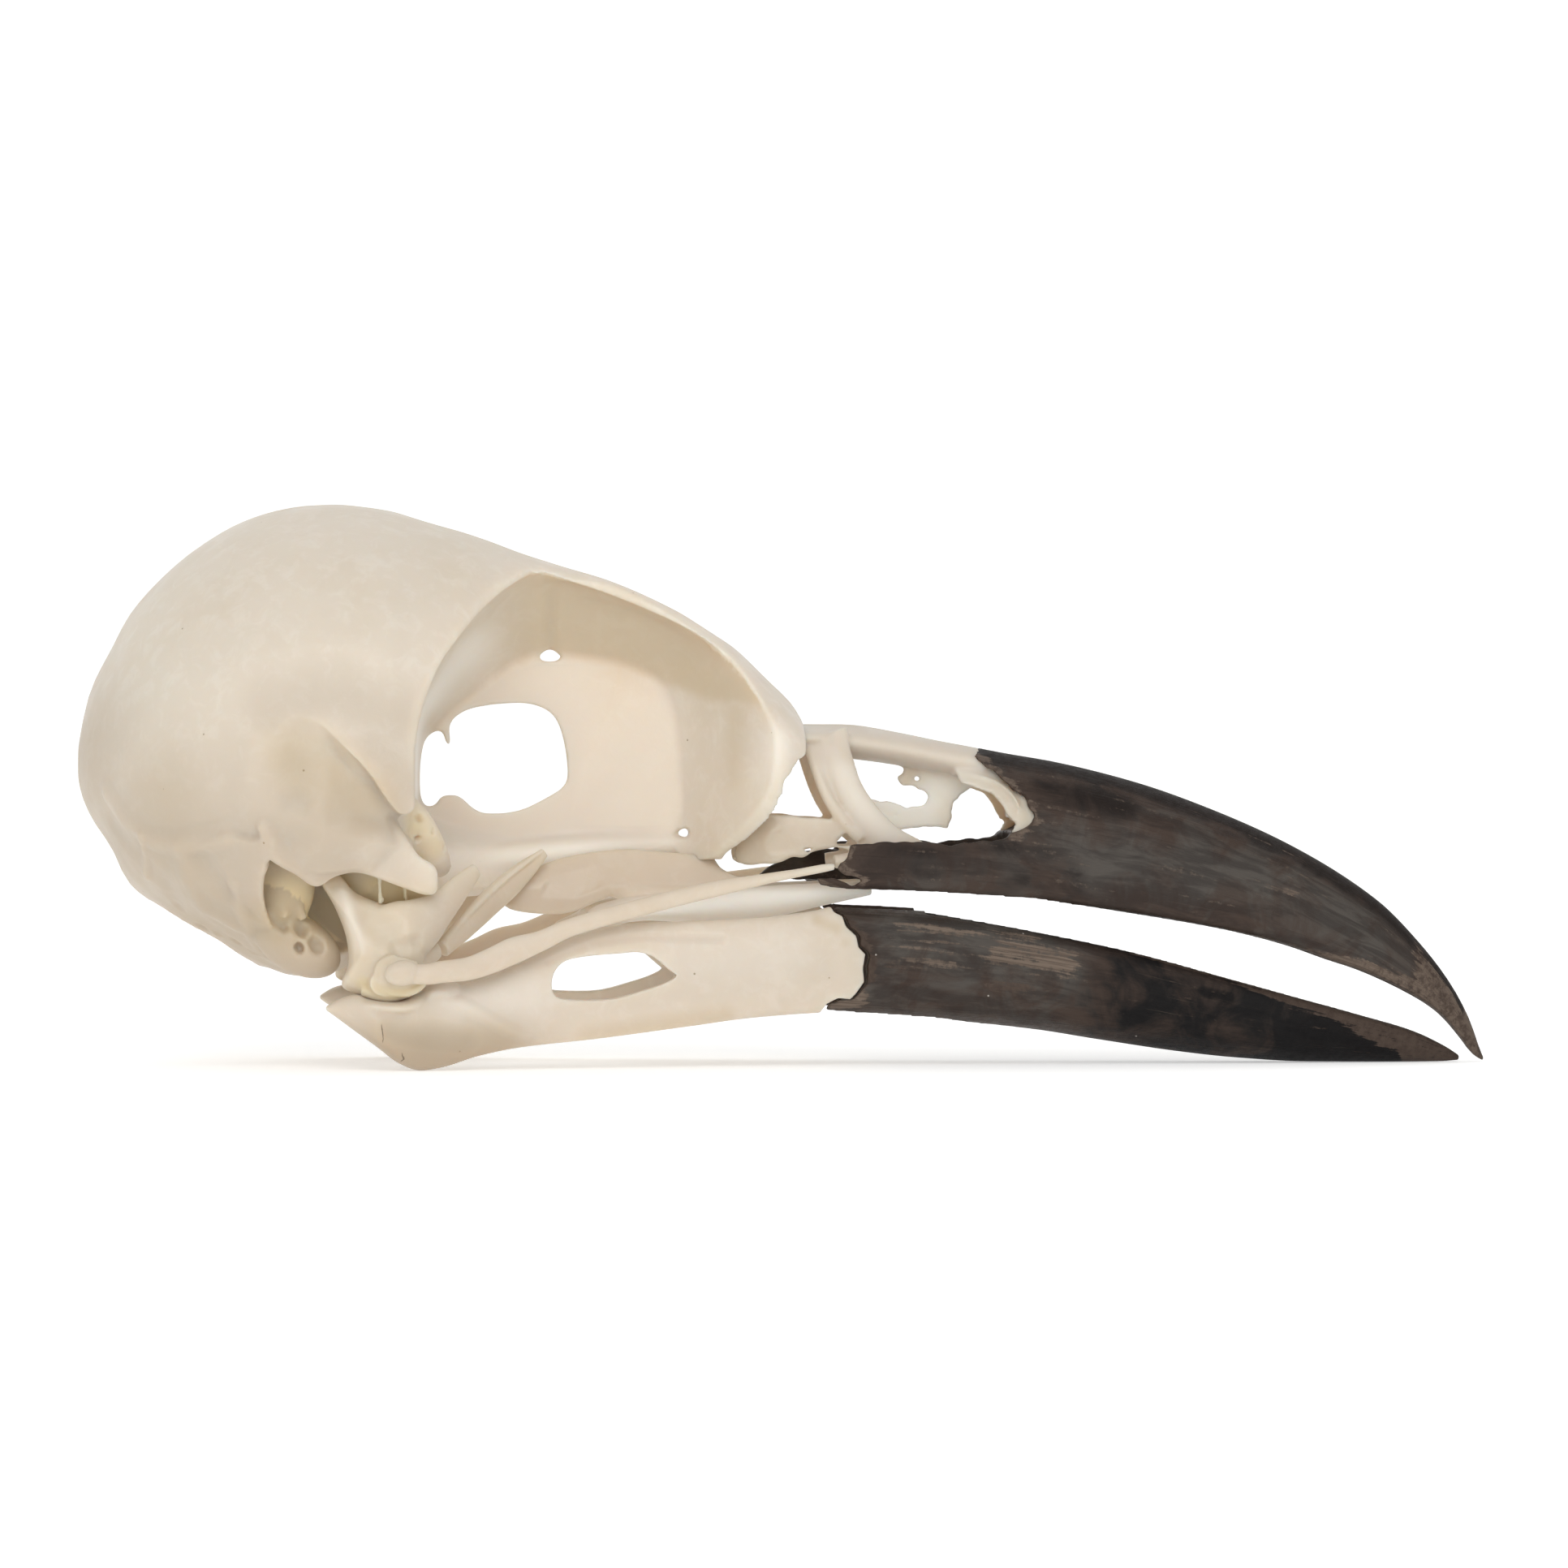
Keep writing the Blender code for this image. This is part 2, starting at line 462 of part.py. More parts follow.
def make_lower_sheath():
    """Horn of the lower bill: two arms that join in front, with a trough along the top."""
    top, bottom, half = through(LOWER_EDGE), through(GONYS), through(LOWER_HALF)
    stations = spread(0.6, 28.4, 22) + [29.2, 29.6, 29.9]
    rings = []
    for x in stations:
        tall = top(x) - bottom(x)
        boxy = 0.4 + 0.45 * min(1.0, max(0.0, (x - 8.0) / 10.0))
        level = bottom(x) + 0.7 * tall
        rings.append(section(x, top(x), bottom(x), half(x), level, 28, (0.5, boxy), floor=0.0))
    sheath = loft("lower_bill_sheath", rings)
    between = []
    for x in (-1.0, 2.0, 5.0, 8.0, 10.0, 11.6, SYMPHYSIS):
        inside = (half(x) - LOWER_WALL) * min(1.0, max(0.04, (SYMPHYSIS - x) / 6.0)) ** 0.5
        between.append(section(x, 12.0, -4.0, inside, 4.0, 16, (0.5, 0.5)))
    trough = []
    for x in (6.0, 9.0, 12.0, 15.0, 18.0, 21.0, 24.0, 26.5, 28.0):
        trough.append(section(x, top(x) + 3.0, top(x) - 0.9 * half(x) / 3.4, half(x) - 0.55, top(x), 16))
    rear = LOWER_REAR + [(-2.0, 1.5), (-2.0, 8.0)]
    cut(sheath, loft("between", between), loft("trough", trough), prism("rear", rear, -8.0, 8.0))
    return sheath


def make_ramus(name):
    """Left branch of the lower jaw bone, from the hinge with the quadrate to the horn."""
    top, bottom = through(RAMUS_TOP), through(RAMUS_BOTTOM)
    out, half = through(RAMUS_OUT), through(RAMUS_HALF)
    stations = [-20.3, -19.7, -19.1, -18.4, -17.7, -17.0, -16.3, -15.6, -14.6, -13.2, -11.6, -9.4, -6.6,
                -3.6, -0.6, 1.8, 4.0]
    rings = []
    for x in stations:
        middle = (top(x) + bottom(x)) / 2
        rings.append(section(x, top(x), bottom(x), half(x), middle, 16, (0.7, 0.7), out(x), 0.0))
    ramus = loft(name, rings)
    inner_knob = bar("knob", [(-17.9, 7.8, 2.0), (-18.1, 6.6, 2.1), (-18.3, 5.6, 2.4)],
                     [(0.8, 0.65), (0.6, 0.5), (0.3, 0.3)])
    join(ramus, inner_knob)
    window = slab("window", [Vector(p) for p in RAMUS_WINDOW], [(4.0, 1.0), (10.0, 1.0)])
    cut(ramus, window, prism("front", RAMUS_FRONT, 2.0, 8.0))
    return ramus


def make_quadrate(name):
    """Left bone that carries the lower jaw: a body, a blade toward the socket and its hinge."""
    body = slab(name, [Vector(p) for p in QUADRATE_BODY], [(7.5, 0.85), (7.9, 1.0), (8.8, 1.0), (9.2, 0.85)])
    blade = bar("blade", [(-17.2, 8.1, 5.9), (-15.9, 7.4, 6.4), (-15.0, 6.7, 7.1), (-13.8, 5.6, 8.4)],
                [(0.5, 1.5), (0.4, 1.35), (0.3, 1.0), (0.25, 0.35)], 10)
    hinge = bar("hinge", [(-18.3, 6.0, 3.8), (-17.9, 7.4, 3.85), (-17.6, 9.3, 3.85)],
                [(0.6, 0.5), (0.8, 0.7), (0.75, 0.6)], 10)
    foot = bar("foot", [(-17.2, 8.0, 4.7), (-16.3, 7.3, 4.9), (-15.7, 6.8, 5.1)],
               [(0.8, 0.8), (0.6, 0.6), (0.45, 0.45)], 10)
    join(body, blade, hinge, foot)
    return body


def make_jugal(name):
    """Left cheek bar, a thin rod from a knob on the quadrate to the back of the upper bill."""
    path = [(-18.0, 9.95, 4.25), (-17.8, 9.95, 4.25), (-17.1, 9.95, 4.25), (-16.3, 9.9, 4.2),
            (-15.6, 9.75, 4.2), (-14.3, 9.5, 4.35), (-12.6, 9.0, 5.1), (-9.9, 8.4, 6.1), (-6.9, 7.7, 6.95),
            (-3.8, 6.95, 7.7), (-0.8, 6.15, 8.35), (0.7, 5.7, 8.65), (1.5, 5.4, 8.8)]
    sizes = [(0.2, 0.3), (0.35, 0.5), (0.42, 0.7), (0.38, 0.6), (0.32, 0.48), (0.32, 0.42), (0.35, 0.5),
             (0.3, 0.4), (0.3, 0.38), (0.3, 0.35), (0.28, 0.28), (0.26, 0.25), (0.26, 0.25)]
    return bar(name, path, sizes)


def make_pterygoid(name):
    """Left strut from the quadrate to the middle of the palate."""
    path = [(-14.9, 6.1, 5.5), (-14.2, 5.2, 6.15), (-13.4, 3.9, 7.1), (-12.7, 2.8, 7.75), (-12.2, 2.0, 8.15)]
    sizes = [(0.3, 0.4), (0.3, 0.75), (0.3, 1.0), (0.3, 1.05), (0.28, 0.75)]
    return bar(name, path, sizes)


def make_palatine(name):
    """Left bone of the palate: a hanging rear leaf, a wing with a backward point and a front strap."""
    leaf = slab(name, rounded(PALATE_LOBE, 2), [(1.45, 1.0), (2.05, 1.0)])
    path = [(-9.8, 5.2, 5.8), (-8.6, 5.0, 6.3), (-7.4, 4.1, 6.9), (-6.0, 3.5, 7.3), (-4.2, 3.4, 7.3),
            (-2.0, 3.4, 7.3), (0.5, 3.1, 7.5), (3.2, 2.9, 7.85)]
    sizes = [(0.3, 0.25), (0.8, 0.35), (1.8, 0.4), (2.0, 0.4), (1.5, 0.5), (0.9, 0.55), (0.7, 0.45),
             (0.6, 0.35)]
    wing = bar("wing", path, sizes, 12, (0.0, 0.3, 1.0))
    join(leaf, wing)
    return leaf


def make_upper_jaw():
    """Bare bone ahead of the forehead: the strap over the nostrils, nose bars and palate shelf."""
    path = [(0.2, 0.0, 14.4), (2.0, 0.0, 14.3), (3.2, 0.0, 14.15), (4.8, 0.0, 13.8), (6.6, 0.0, 13.5),
            (8.3, 0.0, 13.2), (10.2, 0.0, 12.85)]
    sizes = [(3.6, 0.7), (3.1, 0.75), (2.5, 0.8), (2.2, 0.75), (2.0, 0.72), (1.9, 0.72), (1.8, 0.7)]
    strap = bar("upper_jaw", path, sizes, 16)
    nose = bar("nose", [(1.5, 2.7, 14.2), (2.0, 3.0, 13.0), (2.9, 3.3, 11.4), (4.0, 3.2, 9.9), (5.0, 3.0, 9.0)],
               [(1.0, 0.5), (0.85, 0.4), (0.85, 0.38), (0.9, 0.36), (0.9, 0.36)], 12, (0.0, 1.0, 0.0))
    shelf = bar("shelf", [(1.4, 3.0, 8.9), (4.0, 2.9, 8.9), (7.0, 2.4, 8.9), (9.4, 1.2, 8.9)],
                [(0.6, 0.35), (0.8, 0.35), (0.75, 0.35), (1.2, 0.35)], 12)
    leaf = slab("leaf", rounded(MAXILLA_LEAF, 2), [(2.4, 1.0), (3.0, 1.0)])
    lace = slab("lace", rounded(NASAL_LACE, 2), [(-0.25, 1.0), (0.25, 1.0)])
    join(strap, *both_sides(nose), *both_sides(shelf), *both_sides(leaf), lace)
    horn = [(x - FACE_GAP, z) for x, z in UPPER_REAR[:4]]
    horn += [(9.4, 12.0), (10.3, 11.0), (14.0, 11.0), (14.0, 15.5)]
    rear = FOREHEAD_FRONT + FACE_GAP
    hinge = [(-2.0, 11.5), (-2.0, 17.0), (rear, 17.0), (rear, 11.5)]
    cut(strap, prism("horn", horn, -8.0, 8.0), prism("hinge", hinge, -8.0, 8.0))
    return strap


def dress(obj, look):
    """Gives one solid its own plain material."""
    name, colour, roughness = look
    material = bpy.data.materials.new(name + "_" + obj.name)
    material.use_nodes = True
    shader = material.node_tree.nodes["Principled BSDF"]
    shader.inputs["Base Color"].default_value = (*colour, 1.0)
    shader.inputs["Roughness"].default_value = roughness
    shader.inputs["Metallic"].default_value = 0.0
    obj.data.materials.clear()
    obj.data.materials.append(material)


def main():
    for obj in list(bpy.data.objects):
        bpy.data.objects.remove(obj)
    bones = [make_cranium(), make_upper_jaw()]
    pairs = [make_ramus("mandible_ramus"), make_quadrate("quadrate"), make_jugal("jugal"),
             make_pterygoid("pterygoid"), make_palatine("palatine")]
    for left in pairs:
        plain = left.name
        bones.append(mirrored(left, plain + "_right"))
        left.name = plain + "_left"
        bones.append(left)
    for bone in bones:
        dress(bone, BONE_LOOK)
    for horn in (make_upper_sheath(), make_lower_sheath()):
        dress(horn, HORN_LOOK)


main()
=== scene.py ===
import math

import bmesh
import bpy
import numpy as np
from bpy.props import FloatProperty, FloatVectorProperty, IntProperty, PointerProperty
from bpy.types import Operator, Panel, PropertyGroup
from mathutils import Matrix, Vector, noise


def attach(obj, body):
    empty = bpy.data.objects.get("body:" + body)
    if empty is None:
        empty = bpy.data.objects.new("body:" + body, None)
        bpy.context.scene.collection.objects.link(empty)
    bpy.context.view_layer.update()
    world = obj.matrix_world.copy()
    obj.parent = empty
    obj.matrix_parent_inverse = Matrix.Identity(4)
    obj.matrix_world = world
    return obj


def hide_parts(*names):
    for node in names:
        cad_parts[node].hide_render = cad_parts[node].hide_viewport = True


bl_info = {
    "name": "Magpie skull finish",
    "version": (1, 0, 0),
    "blender": (4, 5, 0),
    "location": "3D View > Sidebar > Skull",
    "description": "Dresses a packed magpie skull with sculpted bone and horn",
    "category": "Object",
}

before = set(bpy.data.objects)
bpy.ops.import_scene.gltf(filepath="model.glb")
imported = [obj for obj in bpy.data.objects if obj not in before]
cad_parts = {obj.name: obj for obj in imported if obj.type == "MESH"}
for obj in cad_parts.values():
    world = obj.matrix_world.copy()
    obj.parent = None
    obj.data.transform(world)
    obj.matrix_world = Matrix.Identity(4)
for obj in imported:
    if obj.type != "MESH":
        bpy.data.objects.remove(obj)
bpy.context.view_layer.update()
MM = 0.001


def pairs(*numbers):
    """Points of two numbers each, from a row of numbers."""
    return list(zip(numbers[::2], numbers[1::2]))


# Every table below is in millimetres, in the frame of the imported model: x along the bill, y to the
# bird's left, z up from the table. A table or side outline made of pairs is x and a value, or x and z.

# Head: crown, base, half width and level of the widest line along x.
CROWN = pairs(
    -31, 13.5, -30.8, 14.8, -30.4, 16.4, -29.5, 18.2, -28.7, 19.7, -27.3, 21.3, -25.9, 22.5, -23.8, 23.75,
    -22.3, 24.25, -20.9, 24.48, -19.7, 24.53, -18.1, 24.38, -16.6, 24.1, -14.5, 23.55, -13.1, 23.1,
    -11.6, 22.5, -9.8, 21.9, -7.7, 21.2, -4.9, 20, -2.4, 18.4, -0.6, 16.7, 0.3, 15.8, 0.7, 15.1)
BASE = pairs(
    -31, 12.8, -30.8, 11.8, -30.3, 10.7, -29.5, 9.5, -28.9, 8.2, -28.5, 7.7, -27.7, 7.1, -26.3, 6.1,
    -24.8, 5.3, -23.8, 4.7, -22.7, 4.25, -21.6, 3.9, -20.8, 3.85, -19.6, 4.1, -18.6, 4.8, -17.4, 6.2,
    -15.5, 7.2, -13.3, 7.4, -11, 8.2, -9, 8.8, -6, 9.3, -4.6, 9.4, -4.3, 7.6, 0.7, 7.6)
HALF_WIDTH = pairs(
    -31, 1.2, -30.6, 3.1, -30, 4.7, -29, 6.7, -27.5, 8.9, -25.5, 10.8, -23, 12, -20.5, 12.4, -18.2, 12.25,
    -16.5, 11.6, -15, 10, -13, 7.2, -11, 5.2, -8.8, 4.2, -6, 3.8, -4, 4.2, -2, 5.3, -0.6, 5.5, 0.7, 4.5)
WIDEST_LEVEL = pairs(
    -31, 13.2, -27, 12.8, -22, 12.4, -17, 13.2, -14, 18.2, -11, 21, -8.8, 21.1, -4.9, 19.4, -2.4, 16.6,
    -0.6, 14.4, 0.7, 14)

# Hollow for the brain.
BRAIN_TOP = pairs(
    -29.7, 16, -29, 17.9, -27.5, 20, -25.5, 21.7, -23.5, 22.7, -21.5, 23.1, -19.5, 22.9, -18.2, 22,
    -17.6, 20.2)
BRAIN_FLOOR = pairs(
    -29.7, 11.6, -29, 10.1, -27.5, 8.4, -25.5, 7.4, -23.5, 7.7, -21.5, 9.3, -19.5, 10.6, -18.2, 11.6,
    -17.6, 13)
BRAIN_HALF = pairs(
    -29.7, 3.2, -29, 5.4, -27.5, 7.8, -25.5, 9.6, -23.5, 10.6, -21.5, 10.6, -19.5, 10.3, -18.2, 9.2,
    -17.6, 6.8)

# Eye socket: four side outlines, each a distance out from the thin wall between the sockets.
SOCKET_EDGES = {
    0.25: pairs(
        -15.6, 10.9, -16, 12.6, -15.6, 14.3, -14.7, 15.4, -13.1, 16.7, -11.4, 17.9, -9.5, 18, -7.3, 17.7,
        -5.6, 16.9, -4.8, 15.2, -4.6, 13, -4.5, 11, -5.5, 9.95, -9, 9.6, -12.5, 10),
    1.3: pairs(
        -15.9, 9.6, -16.1, 12.3, -15.9, 14.6, -15, 16, -13.6, 17.5, -11.6, 18.9, -9.4, 19.2, -7, 18.8,
        -4.9, 17.7, -3.9, 15.8, -3.7, 13.2, -3.8, 10.6, -5, 6, -9, 6, -13.2, 8.4),
    4.2: pairs(
        -16.2, 8.9, -16.3, 12, -16.2, 14.8, -15.5, 16.8, -14.2, 18.8, -12, 20.9, -9.4, 22, -6.6, 21.6,
        -3.8, 20, -2.2, 17, -1.7, 13.6, -1.9, 10.4, -3.6, 4, -9, 3, -13.6, 5.6),
    9: pairs(
        -16.3, 8, -16.5, 12, -16.4, 14.8, -15.7, 17.1, -14.5, 18.9, -12.6, 21.2, -9.6, 24.5, -6, 24.5,
        -1.5, 22, 1, 18.5, 2.2, 14, 1.6, 9.5, -2, 3, -9, 2, -14, 3),
}
ROOF_THICKNESS = 0.7
ROOF_REACH = 8.5  # how far out the roof of the socket limits it
ABOVE_ALL = 40.0

# Crease where the roof of the socket meets its rear wall, and the thin wall's own edge.
ROOF_CREASE = pairs(
    -16, 13.6, -15, 15, -13.5, 16.5, -12, 17.5, -10.5, 18.1, -8, 17.7, -5.6, 16.9, -3.2, 15.9, -0.9, 15.7,
    1, 15.6)

# Openings, hollows and plates of the head.
SEPTUM_WINDOW = pairs(
    -16, 12.5, -15.95, 13.5, -15.75, 14.25, -15.3, 14.6, -15, 14.55, -14.85, 14.1, -14.65, 14, -14.7, 14.8,
    -14.4, 15.25, -13.7, 15.6, -12.4, 15.8, -11.2, 15.8, -10.25, 15.4, -9.8, 14.6, -9.55, 13.3, -9.6, 12.3,
    -10.4, 11.7, -11.7, 11.1, -13.1, 11, -13.7, 11.25, -14.3, 11.75, -15, 11.75, -15.3, 11.4, -15.7, 11.3,
    -15.95, 11.7)
NERVE_HOLE = pairs(-10.9, 17.75, -10.6, 18.05, -10.3, 18.2, -10, 18.05, -9.75, 17.75, -10.3, 17.65)
SMALL_GAP = pairs(-5.1, 10, -4.3, 10.35, -4.25, 9.9)
EAR_HOLLOW = pairs(
    -22.7, 9.9, -21.9, 9.4, -20.8, 8.6, -19.9, 8.6, -18.8, 8.7, -17.3, 8.3, -15.6, 8.3, -13.6, 7.5,
    -14.6, 4.2, -18, 2.6, -19.6, 3.4, -20.9, 4.3, -22.3, 5.4, -23.2, 6.6, -23.3, 7.9)
TEMPLE_HOLLOW = pairs(
    -22.9, 10.6, -23.3, 12.3, -22.9, 14, -21.9, 15.2, -20.7, 15.1, -19.5, 13.9, -18.5, 12.85, -17.8, 11.8,
    -17.25, 11.15, -16.85, 11.1, -16.5, 11.45, -16.2, 12, -15.3, 12.5, -14.5, 12, -14.4, 9, -17, 9.6,
    -19.5, 10, -21.5, 10)
CHEEK_BLADE = pairs(
    -23.2, 11, -22.6, 12.1, -20.6, 12.6, -18.6, 12.2, -17.6, 11.2, -16.8, 10.05, -16.3, 9.3, -15.75, 8.95,
    -15.5, 8.65, -15.45, 7.9, -15.6, 7.6, -16.1, 7.6, -17.1, 7.95, -18.8, 8.55, -19.9, 8.4, -20.7, 7.95,
    -21.6, 8.5, -22.8, 9.3)
EAR_WING = pairs(
    -27.2, 9.2, -26, 9.75, -24.6, 10.2, -23.5, 10, -22.45, 10.05, -22.75, 9.2, -22.95, 7.9, -22.7, 6.6,
    -21.8, 5.1, -20.75, 3.85, -22.2, 4.35, -23.6, 5.2, -25, 6.2, -26.4, 7.4)
LACRIMAL_EDGE = pairs(
    2, 13.5, 0.8, 13.5, 0.55, 12.9, -0.2, 12.1, -0.7, 11.1, -1.2, 10.4, -2.1, 9.7, -2.7, 9.3, -2.85, 9,
    -3.3, 9, -4, 8.9, -4.6, 8.7, -4.6, 7, 2, 7)

# Upper bill.
CULMEN = pairs(
    0.5, 14.9, 3, 14.9, 6.6, 14.25, 9.6, 13.65, 11.9, 13.25, 15.5, 12.35, 19, 11.1, 22.6, 9.45, 26.2, 7.15,
    28, 5.35, 29.4, 3.55, 30.3, 1.9, 30.8, 0.5, 31, 0.05)
UPPER_EDGE = pairs(
    0.5, 7.9, 2.6, 7.55, 4.8, 7.5, 8.3, 7.3, 11.9, 7, 15.5, 6.5, 19, 5.9, 21.2, 5.4, 22.6, 5, 24, 4.5,
    25.5, 4, 28, 2.8, 29, 2.1, 29.8, 1.2, 30.5, 0.3, 31, 0)
UPPER_HALF = pairs(
    0.5, 5.3, 2.6, 5.2, 5, 4.85, 8, 4.25, 12, 3.7, 16, 3.25, 20, 2.7, 24, 2, 28, 1.15, 30, 0.6, 31, 0.12)
UPPER_REAR = pairs(
    10.2, 15.5, 9, 13.95, 8.5, 13.8, 8.25, 13.5, 8.5, 13.15, 9.2, 12.75, 9.5, 12.4, 9.95, 12.05,
    10.45, 11.75, 10.5, 11.3, 10.75, 10.9, 10.4, 10.4, 9.7, 10.1, 9.4, 9.85, 8.2, 9.8, 7, 9.6, 5.9, 9.8,
    4.8, 9.8, 3.3, 9.7, 2.6, 9.65, 2.5, 9.1, 2.15, 8.9, 2, 8.6, 2.45, 8.35, 2.9, 8.25, 3.2, 8, 2.6, 7.95,
    1.9, 8.25, 1.2, 8.2, 1.3, 7.8, 1.8, 7.55, 2.2, 7, -1.2, 7, -1.2, 15.5)
LEFT_FLAP = pairs(
    -1, 8.05, -0.5, 8.5, 0.4, 8.95, 1, 9.25, 2.2, 9.35, 3.6, 9.3, 3.6, 8, 2.2, 7.95, 0.9, 8, 0, 8.15)
UPPER_GROOVE = pairs(-1, 13, 8.8, 12.6, 10.2, 9.6, 12, 8, 15, 7.2, 19, 6.5, 23, 5.4, 26, 4.2, 28, 3)
UPPER_WALL = pairs(-1, 0.55, 8, 0.4, 10.8, 0.32, 12.5, 0.6, 16, 0.8, 24, 0.75, 28, 0.55)

# Lower bill.
LOWER_EDGE = pairs(
    0, 7.2, 3.4, 7.05, 5.9, 6.9, 8.3, 6.5, 11.9, 5.8, 15.5, 5, 19, 4, 22.6, 2.95, 25.5, 2.1, 27.6, 1.45,
    29.2, 0.7, 29.9, 0.25)
GONYS = pairs(
    0, 2.3, 3, 2.1, 4.8, 2, 8.3, 1.75, 11.2, 1.45, 13.7, 1.05, 17.3, 0.5, 19.8, 0.22, 23, 0.03, 27, 0.01,
    29, 0.02, 29.9, 0.08)
LOWER_HALF = pairs(
    0, 5.4, 1.8, 5.1, 3.6, 4.75, 8, 4, 12, 3.4, 16, 2.85, 20, 2.3, 24, 1.7, 27.6, 0.95, 29.9, 0.15)
LOWER_REAR = pairs(
    1, 8, 1.5, 7.3, 1.9, 7.05, 2, 6.75, 2.4, 6.55, 2.55, 6.1, 3, 5.7, 3.1, 5.2, 3.4, 4.9, 3.3, 4.3,
    3.35, 3.7, 3, 3.2, 2.75, 2.95, 2.2, 3, 1.7, 2.75, 1.45, 2.4, 1.2, 1.5)
SYMPHYSIS = 12.6  # where the two arms of the lower bill join
LOWER_WALL = 1.1
JAW_GAP = 0.15  # between the jaw bone and the horn that sits on it

# Branch of the lower jaw.
RAMUS_TOP = pairs(
    -20.3, 2.75, -19.6, 3.15, -18.9, 3.3, -17.9, 2.85, -16.9, 2.85, -16.2, 3.4, -15.4, 3.75, -14.8, 3.65,
    -13.4, 3.95, -11.9, 4.6, -9.9, 5.6, -8.5, 6.1, -7, 6.3, -1.7, 6.5, 1, 6.8, 2.2, 7.05, 4, 7)
RAMUS_BOTTOM = pairs(
    -20.3, 2.65, -19.8, 2.3, -19.2, 1.85, -18.1, 1.05, -17, 0.25, -16.2, 0, -15.3, 0.12, -13.7, 0.6,
    -11.9, 0.95, -8.5, 1.3, -4.5, 1.8, -1.7, 2.15, 1.5, 2.35, 4, 2.4)
RAMUS_OUT = pairs(-20.3, 8.3, -17.7, 8.1, -15.5, 8, -12, 7.35, -8, 6.6, -4, 5.8, 0, 4.85, 4, 4)
RAMUS_HALF = pairs(
    -20.3, 0.3, -19.2, 0.9, -17.9, 1.45, -16.8, 1.25, -15.4, 0.85, -12, 0.6, -6, 0.6, 0, 0.75, 4, 0.7)
RAMUS_WINDOW = pairs(
    -10.5, 3.5, -10.4, 4.2, -9.9, 4.7, -8.9, 4.9, -7.6, 5, -6.7, 5.05, -6, 4.8, -5.3, 4.2, -5.1, 4,
    -5.6, 3.7, -6.5, 3.4, -7.8, 3.05, -9.2, 3, -10.2, 3.1)

# Bones of the nose, the jaw joint and the palate.
NASAL_LACE = pairs(
    4.2, 13.4, 5, 13.15, 5.35, 12.95, 5.15, 12.7, 4.97, 12.5, 5.3, 12.25, 5.75, 12.15, 6.1, 12, 6.4, 11.65,
    6.25, 11.4, 5.6, 11.25, 5, 11.35, 4.2, 11.5, 3.6, 11.65, 3.3, 11, 4.6, 10.2, 6.2, 10.4, 7.25, 10.35,
    7.35, 10.7, 7.3, 11.1, 7.6, 11.6, 8, 12, 8.4, 12.15, 9.2, 12.3, 9.2, 13.2)
MAXILLA_LEAF = pairs(
    -2.25, 8.85, -2.2, 9.5, -1.9, 10.3, -1.3, 11, -0.6, 11, 0.5, 10.85, 1.9, 10.75, 2.9, 10.4, 4.2, 9.8,
    4.2, 9.3, 2.2, 9.5, 1.1, 9.4, 0.7, 9.2, 0.1, 9.05, -0.6, 8.85, -1.5, 8.75)
LEAF_HOLE = pairs(1.95, 9.6, 2.65, 10.35, 2.85, 10.2, 3.2, 9.6)
NOSE_WEB = pairs(
    0.95, 14.2, 1.3, 13, 1.7, 12, 2.4, 10.9, 3.2, 10.1, 3.4, 10.6, 2.8, 11.6, 2.3, 12.8, 1.9, 14.2)
NOSTRIL_FRONT = pairs(
    7.4, 13, 7.6, 12.35, 8.35, 12.1, 9, 11.85, 9.4, 11.36, 9.6, 10.94, 10.05, 10.5, 9.75, 10.15, 10.3, 10,
    10.95, 10.5, 10.95, 11.6, 10.4, 12.3, 9.6, 12.8, 8.6, 13.2)
THIN_GRAIN = 0.06  # the finest grain, which keeps the thinnest bone and horn whole
FRAY_SEED = 1  # seed of the notches in frayed bone and horn
QUADRATE_BODY = pairs(
    -20.5, 8.25, -19.7, 8.45, -19, 7.7, -17.8, 7.2, -16.7, 7, -16.1, 6, -16, 4.8, -16.4, 3.9, -17, 3.2,
    -18, 3.05, -19.1, 3.35, -19.6, 3.7, -19.3, 4.6, -19.4, 5.8, -19.9, 7.1)
PALATE_LOBE = pairs(
    -12.3, 6.95, -11.9, 7.7, -11.2, 8.5, -9.6, 9.1, -7.5, 9.4, -6.3, 9.3, -6.4, 8.2, -7.5, 7.5, -8.4, 7.1,
    -9.6, 6.65, -11.2, 6.65)
PALATE_SHEET = pairs(
    -8.2, 7.8, -8, 9.3, -5.4, 9.3, -4.2, 9.2, -3.3, 9.15, -2.85, 8.6, -2.1, 8.25, -1.4, 8.1, -1.2, 7.5,
    -3, 7, -5, 7, -6.9, 7.1)

# Limits of the worn horn: the top of it on the upper bill, its rear at the tip by z, and its lower limit on
# the lower bill.
UPPER_WEAR = pairs(
    16.5, 6.1, 17.4, 6.25, 19.3, 5.9, 21.15, 5.4, 23, 4.9, 24.7, 4.65, 26.6, 4.1, 27.6, 3.7, 31, 3)
TIP_WEAR = pairs(3, 27.4, 3.7, 27.75, 4.2, 27.9, 4.9, 27.75, 5.85, 27.45, 6.8, 26.8, 7.5, 26.2, 9, 25)
LOWER_WEAR = pairs(
    0, 9, 13.5, 5.7, 14.2, 5.2, 17.4, 4.17, 19.3, 3.64, 20.8, 3.04, 22.1, 2.48, 23.8, 2.1, 24.9, 1.4,
    26, 0.83, 27, 0.5, 27.3, 0, 27.6, -0.8, 30, -1)


def linear(code):
    """The linear colour of a hex sRGB code."""
    parts = [int(code[i:i + 2], 16) / 255 for i in (1, 3, 5)]
    return tuple(p / 12.92 if p <= 0.04045 else ((p + 0.055) / 1.055) ** 2.4 for p in parts) + (1.0,)


